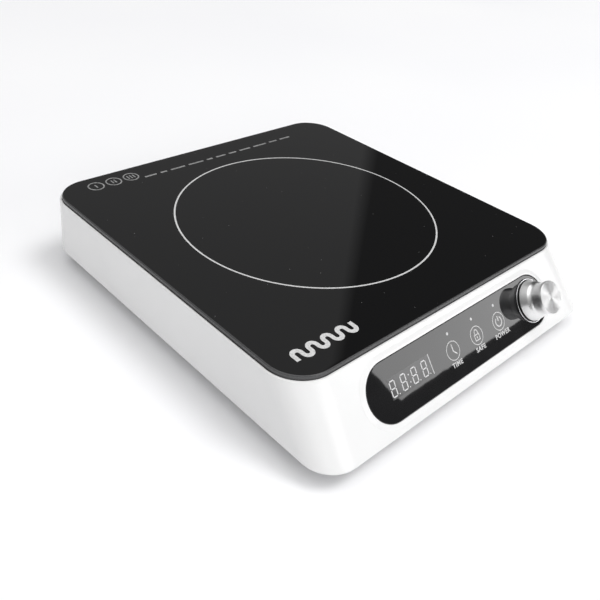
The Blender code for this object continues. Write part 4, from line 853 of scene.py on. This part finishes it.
def makeKnob():
    # three turned profiles of (radius, height over the lens's face)
    k = knobShape
    base, skirt, waist, grip, height = k["base"], k["skirt"], k["waist"], k["grip"], k["height"]
    side = [
        (grip - k["faceRound"], height), (grip, height), (grip, height - k["gripSide"]),
        (waist, height - k["gripFoot"]), (waist, base + k["waistFoot"]),
        (waist + k["stepFoot"][0], base + k["stepFoot"][1]),
        (skirt - k["stepEdge"][0], base + k["stepEdge"][1]), (skirt, base), (skirt - k["skirtWall"], base),
    ]
    nut, nutTop, nutSide = k["nutRoom"]
    inside = [
        (skirt - k["skirtWall"], nutTop), (nut, nutTop), (nut, nutSide),
        (k["bore"], nutSide), (k["bore"], k["boreTop"]), (0, k["boreTop"]),
    ]
    profile = np.concatenate([[(0, height)], rounded(side, k["rounds"]), inside])
    centre = panelMiddle + (knobX, 0, 0) + panelNormal * lensTop
    stuff = [materials["knobSide"], materials["knobFace"]]
    knob = turnedPiece("knob_turned", profile, centre, panelNormal, stuff, "knob")
    faces = knob.data.polygons
    level = (readAll(faces, "center", 3) - centre) @ panelNormal
    face = (readAll(faces, "normal", 3) @ panelNormal > 0.99) & (level > height - 0.2 * mm)
    faces.foreach_set("material_index", face.astype(np.int32))
    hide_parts("knob")
    outer, inner, top = k["ringOuter"], k["ringOuter"] - k["ringWide"], k["ringHigh"]
    flange, low, high = k["ringFlange"]
    lip = rounded([(outer, low), (outer, top), (inner, top), (inner, high)], [0.3 * mm, 0.2 * mm])
    ring = np.concatenate([[(flange, low)], lip, [(flange, high)]])
    chrome = materials["chrome"]
    trim = turnedPiece("knob_trim_ring", ring, centre, panelNormal, chrome, "body", closed=True)
    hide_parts("knob_ring")
    # a black sleeve fills the gap between the ring and the skirt: painted shade in place of the shadow there
    hole, low, high, clear = k["gapSleeve"]
    gap, top = k["gapRadius"], base - clear
    sleeve = [(hole, low), (inner - clear, low), (gap, high), (gap, top), (hole, top)]
    dark = materials["gap"]
    turnedPiece("knob_painted_shade_sleeve", sleeve, centre, panelNormal, dark, "body", closed=True)


makeKnob()
print("knob made")


# base tray, feet and gland
tray = {
    "inset": 7 * mm, "seamGap": 0.3 * mm, "lipInset": (3.6 * mm, 8 * mm), "lipHigh": 3 * mm,
    "lipWall": 1.8 * mm, "floor": 2 * mm, "floorInset": (9.5 * mm, 12 * mm),
    "slots": 9, "slotPitch": 8 * mm, "slot": 3.6 * mm, "bore": 37 * mm,
}


def trayOutline(height, inset, front=None):
    return bodyOutline(height, 0, inset, inset if front is None else front)


def makeBase():
    # outlines stacked from the underside up the outside, over the lip and down to the tray's inner floor
    inset, edge, seam = tray["inset"], housing["edgeRound"], shellBottom - tray["seamGap"]
    side, front = tray["lipInset"]
    lipTop, wall = shellBottom + tray["lipHigh"], tray["lipWall"]
    rows = [
        trayOutline(trayLow, inset + 3 * mm),
        trayOutline(trayLow, inset + 0.5 * mm),
        trayOutline(trayLow + 0.15 * mm, inset + 0.1 * mm),
        trayOutline(trayLow + 0.5 * mm, inset - 0.3 * mm),
        trayOutline(seam - 0.4 * mm, edge + 0.3 * mm),
        trayOutline(seam, edge),
        trayOutline(seam, side, front),
        trayOutline(lipTop, side, front),
        trayOutline(lipTop, side + wall, front + wall),
        trayOutline(trayLow + tray["floor"], *tray["floorInset"]),
    ]
    points, faces = ringSolid(rows)
    base = makePiece("base_shell", points, faces, materials["greyAbs"], "body")
    fanX, fanY = np.array(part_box("fan_rotor")).mean(0)[:2]
    cutters = {}
    for index in range(tray["slots"]):  # intake slots fill a circle under the fan
        across = (index - (tray["slots"] - 1) / 2) * tray["slotPitch"]
        half = math.sqrt(tray["bore"] ** 2 - across ** 2)
        slot = capsule(2 * half, tray["slot"], 8)[:, ::-1] + (fanX + across, fanY)
        cutters[f"intake{index}"] = [atLevel(slot, trayLow + rise) for rise in (-2 * mm, 4 * mm)]
    carve(base, cutters)
    smoothArea(base)
    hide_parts("base_tray")


makeBase()

foot = {
    "top": 9 * mm, "side": (8.5 * mm, 0.2 * mm), "sole": (7.8 * mm, 5.2 * mm),
    "well": (4.4 * mm, 0.6 * mm, 3.5 * mm), "hole": 2.2 * mm,
    "rounds": (0.5 * mm, 0.5 * mm, 0.3 * mm, 0.3 * mm, 0.3 * mm, 0.2 * mm),
}


def makeFeet():
    # a turned profile of (radius, height) from the floor, hollow for the screw
    well, ease, wellTop = foot["well"]
    hole, (sole, soleInner) = foot["hole"], foot["sole"]
    for place in ("front_left", "front_right", "rear_left", "rear_right"):
        low, high = np.array(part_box("foot_" + place))
        centre = (low + high) / 2 * (1, 1, 0)
        top = float(high[2])
        profile = [(hole, top), (foot["top"], top), foot["side"], (sole, 0), (soleInner, 0)]
        profile += [(well, ease), (well, wellTop), (hole, wellTop)]
        piece = turnedPiece(
            "rubber_foot_" + place, rounded(profile, foot["rounds"]), centre, (0, 0, 1), materials["rubber"],
            "body", around=64, closed=True,
        )
        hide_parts("foot_" + place)


makeFeet()

gland = {
    "bore": 3.9 * mm, "mouth": (4.9 * mm, 1.2 * mm), "face": 8 * mm, "flange": (9 * mm, 0.9 * mm, 2 * mm),
    "neck": 6 * mm, "barb": (7.6 * mm, 2.4 * mm),
    "rounds": (0.5 * mm, 0.5 * mm, 0.6 * mm, 0.4 * mm, 0.1 * mm, 0.2 * mm, 0.2 * mm, 0.2 * mm),
}


def makeGland():
    # a turned profile of (radius, distance out from the flange's face): bore, flange, neck and barb
    low, high = np.array(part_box("cord_gland"))
    centre = np.array([(low[0] + high[0]) / 2, high[1], (low[2] + high[2]) / 2])
    depth = float(high[1] - low[1])
    bore, neck = gland["bore"], gland["neck"]
    mouth, mouthDepth = gland["mouth"]
    wide, edge, back = gland["flange"]
    barb, barbLong = gland["barb"]
    profile = [
        (bore, -depth), (bore, -mouthDepth), (mouth, 0), (gland["face"], 0), (wide, -edge), (wide, -back),
        (neck, -back), (neck, barbLong - depth), (barb, barbLong - depth), (neck, -depth),
    ]
    piece = turnedPiece(
        "gland_bush", rounded(profile, gland["rounds"]), centre, (0, 1.0, 0), materials["rubber"], "body",
        around=64, closed=True,
    )
    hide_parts("cord_gland")


makeGland()
print("base, feet and gland made")


# finishes on the pieces kept from the frame, by the start of their names
finishes = {
    "zinc": ("housing_screw", "board_screw", "coil_screw", "touch_spring", "encoder_shaft", "fan_shaft"),
    "epoxy": ("encoder_body", "display_module", "igbt", "bridge_rectifier", "filter_capacitor"),
    "brass": ("encoder_nut",), "film": ("resonant_capacitor",), "board": ("control_board", "power_board"),
    "clear": ("indicator_led", "fuse"), "pbt": ("coil_former", "fan_frame", "fan_rotor"),
    "litz": ("fan_stator", "choke_coil", "induction_coil"), "mica": ("mica_sheet",),
    "extruded": ("heatsink",), "silicone": ("glass_seal", "temperature_sensor"), "ribbon": ("ribbon_cable",),
    "ferrite": ("transformer", "ferrite_bar"), "sleeve": ("coil_lead", "fan_lead"),
}
for finish, starts in finishes.items():
    for name, obj in nodes.items():
        if name.startswith(starts):
            obj.data.materials.clear()
            obj.data.materials.append(materials[finish])


# studio: floor, light and camera
studio = {
    "floor": ("#f8f8fa", "#fbfbfc"),
    "low": 0.55, "top": 1.3, "sun": 0.72, "sunAngle": 25, "sunFrom": (0.4, -0.3, 0.87),
    "walls": (  # compass direction in degrees from the rear towards the right, brightness
        (-180, 0.24), (-150, 0.24), (-130, 0.5), (-50, 0.5), (-20, 0.35), (51.3, 0.35), (51.9, 0.1),
        (118, 0.1), (130, 0.24), (180, 0.24),
    ),
    "softboxes": (  # name, brightness, middle, size, what it faces, seen in reflections
        ("key", 4.0, (2.07, -1.883, 0.821), (1.3, 0.45), (2.07, 0.0, 0.821), True),
        ("front", 0.5, (0.915, -3.415, 3.535), (4.0, 2.25), (0.0, 0.0, 0.0), True),
        ("frontCard", 1.9, (0.62, -2.8, 0.95), (1.6, 1.3), (0.0, 0.0, 0.0), True),
        ("frontRight", 1.3, (1.75, -1.75, 4.35), (3.5, 2.25), (0.0, 0.0, 0.0), True),
        ("frontLeft", 2.8, (-2.25, -3.0, 2.0), (2.5, 2.25), (0.0, -0.1, 0.0), False),
    ),
}


def makeFloor():
    # a round sheet of matt paper: circles at three radii, closed in the middle
    rows = np.array([atLevel(circle(radius, 128), 0.0) for radius in (0.3, 1.5, 6.0)])
    floor = newSolid("floor", rows, gridFaces(3, 128, False, True) + [list(range(128))])
    dark, light = studio["floor"]
    sockets = {"Roughness": 0.9, "Specular IOR Level": 0.0}
    floor.data.materials.append(grained("paperSweep", 400 * mm, 1.0, [(0.3, dark), (0.7, light)], sockets))


makeFloor()


def makeWorld():
    # grey walls of a studio: level by compass direction, dimmer towards the horizon, brighter overhead
    world = bpy.data.worlds.new("studioSky")
    bpy.context.scene.world = world
    world.use_nodes = True
    tree = world.node_tree
    tree.nodes.clear()
    place = addNode(tree, "ShaderNodeTexCoord")
    parts = addNode(tree, "ShaderNodeSeparateXYZ", links={0: place.outputs["Generated"]})
    compass = {0: parts.outputs["X"], 1: parts.outputs["Y"]}
    azimuth = addNode(tree, "ShaderNodeMath", {"operation": "ARCTAN2"}, compass)
    turn = {"From Min": -math.pi, "From Max": math.pi}
    share = addNode(tree, "ShaderNodeMapRange", turn, {"Value": azimuth.outputs[0]})
    stops = [(degrees / 360 + 0.5, level) for degrees, level in studio["walls"]]
    walls = addNode(tree, "ShaderNodeValToRGB", {"stops": stops}, {"Fac": share.outputs[0]})
    rising = {"From Min": 0.3, "From Max": 0.72, "To Min": studio["low"], "To Max": 1.0}
    rise = addNode(tree, "ShaderNodeMapRange", rising, {"Value": parts.outputs["Z"]})
    both = {0: walls.outputs[0], 1: rise.outputs[0]}
    level = addNode(tree, "ShaderNodeMath", {"operation": "MULTIPLY"}, both)
    overhead = {"interpolation_type": "SMOOTHSTEP", "From Min": 0.75, "From Max": 0.95}
    up = addNode(tree, "ShaderNodeMapRange", overhead, {"Value": parts.outputs["Z"]})
    top = {"data_type": "FLOAT", 3: studio["top"]}
    mixed = addNode(tree, "ShaderNodeMix", top, {0: up.outputs[0], 2: level.outputs[0]})
    sky = addNode(tree, "ShaderNodeBackground", {"Color": (1, 1, 1, 1)}, {"Strength": mixed.outputs[0]})
    addNode(tree, "ShaderNodeOutputWorld", links={"Surface": sky.outputs[0]})


makeWorld()


def addLight(name, kind, energy, place, target, mirrored):
    light = bpy.data.lights.new(name, kind)
    light.energy = energy
    obj = addObject(name, light)
    obj.location = place
    obj.rotation_euler = (Vector(target) - Vector(place)).to_track_quat("-Z", "Y").to_euler()
    obj.visible_glossy = mirrored
    return light


def makeLights():
    sun = addLight("overhead", "SUN", studio["sun"], studio["sunFrom"], (0, 0, 0), False)
    sun.angle = math.radians(studio["sunAngle"])
    for name, level, middle, size, target, mirrored in studio["softboxes"]:
        energy = level * math.pi * size[0] * size[1]  # level is the brightness of its face
        box = addLight(name, "AREA", energy, middle, target, mirrored)
        box.shape = "RECTANGLE"
        box.size, box.size_y = size


makeLights()

tripod = {
    "azimuth": -46.567, "elevation": 35.673, "roll": 6.20, "lens": 41.37,
    "from": (-0.34189, -0.32652, 0.25651),  # from the middle of the glass's face
}


def makeCamera():
    # a level tripod head turned, tipped and rolled by the angles above
    az, el, roll = (math.radians(tripod[k]) for k in ("azimuth", "elevation", "roll"))
    back = np.array([math.sin(az) * math.cos(el), -math.cos(az) * math.cos(el), math.sin(el)])
    right = np.array([math.cos(az), math.sin(az), 0.0])
    up = np.cross(back, right)
    tiltedRight = math.cos(roll) * right + math.sin(roll) * up
    tiltedUp = -math.sin(roll) * right + math.cos(roll) * up
    data = bpy.data.cameras.new("camera")
    data.lens = tripod["lens"]
    data.sensor_width = 36.0
    data.clip_start = 0.01
    data.clip_end = 50
    camera = addObject("camera", data)
    turn = Matrix((tiltedRight, tiltedUp, back)).transposed().to_4x4()
    turn.translation = Vector(np.array(tripod["from"]) + (0, middleY, glassTop))
    camera.matrix_world = turn
    bpy.context.scene.camera = camera


makeCamera()
bpy.context.scene.view_settings.view_transform = "Standard"
print("studio made")

bpy.context.view_layer.update()
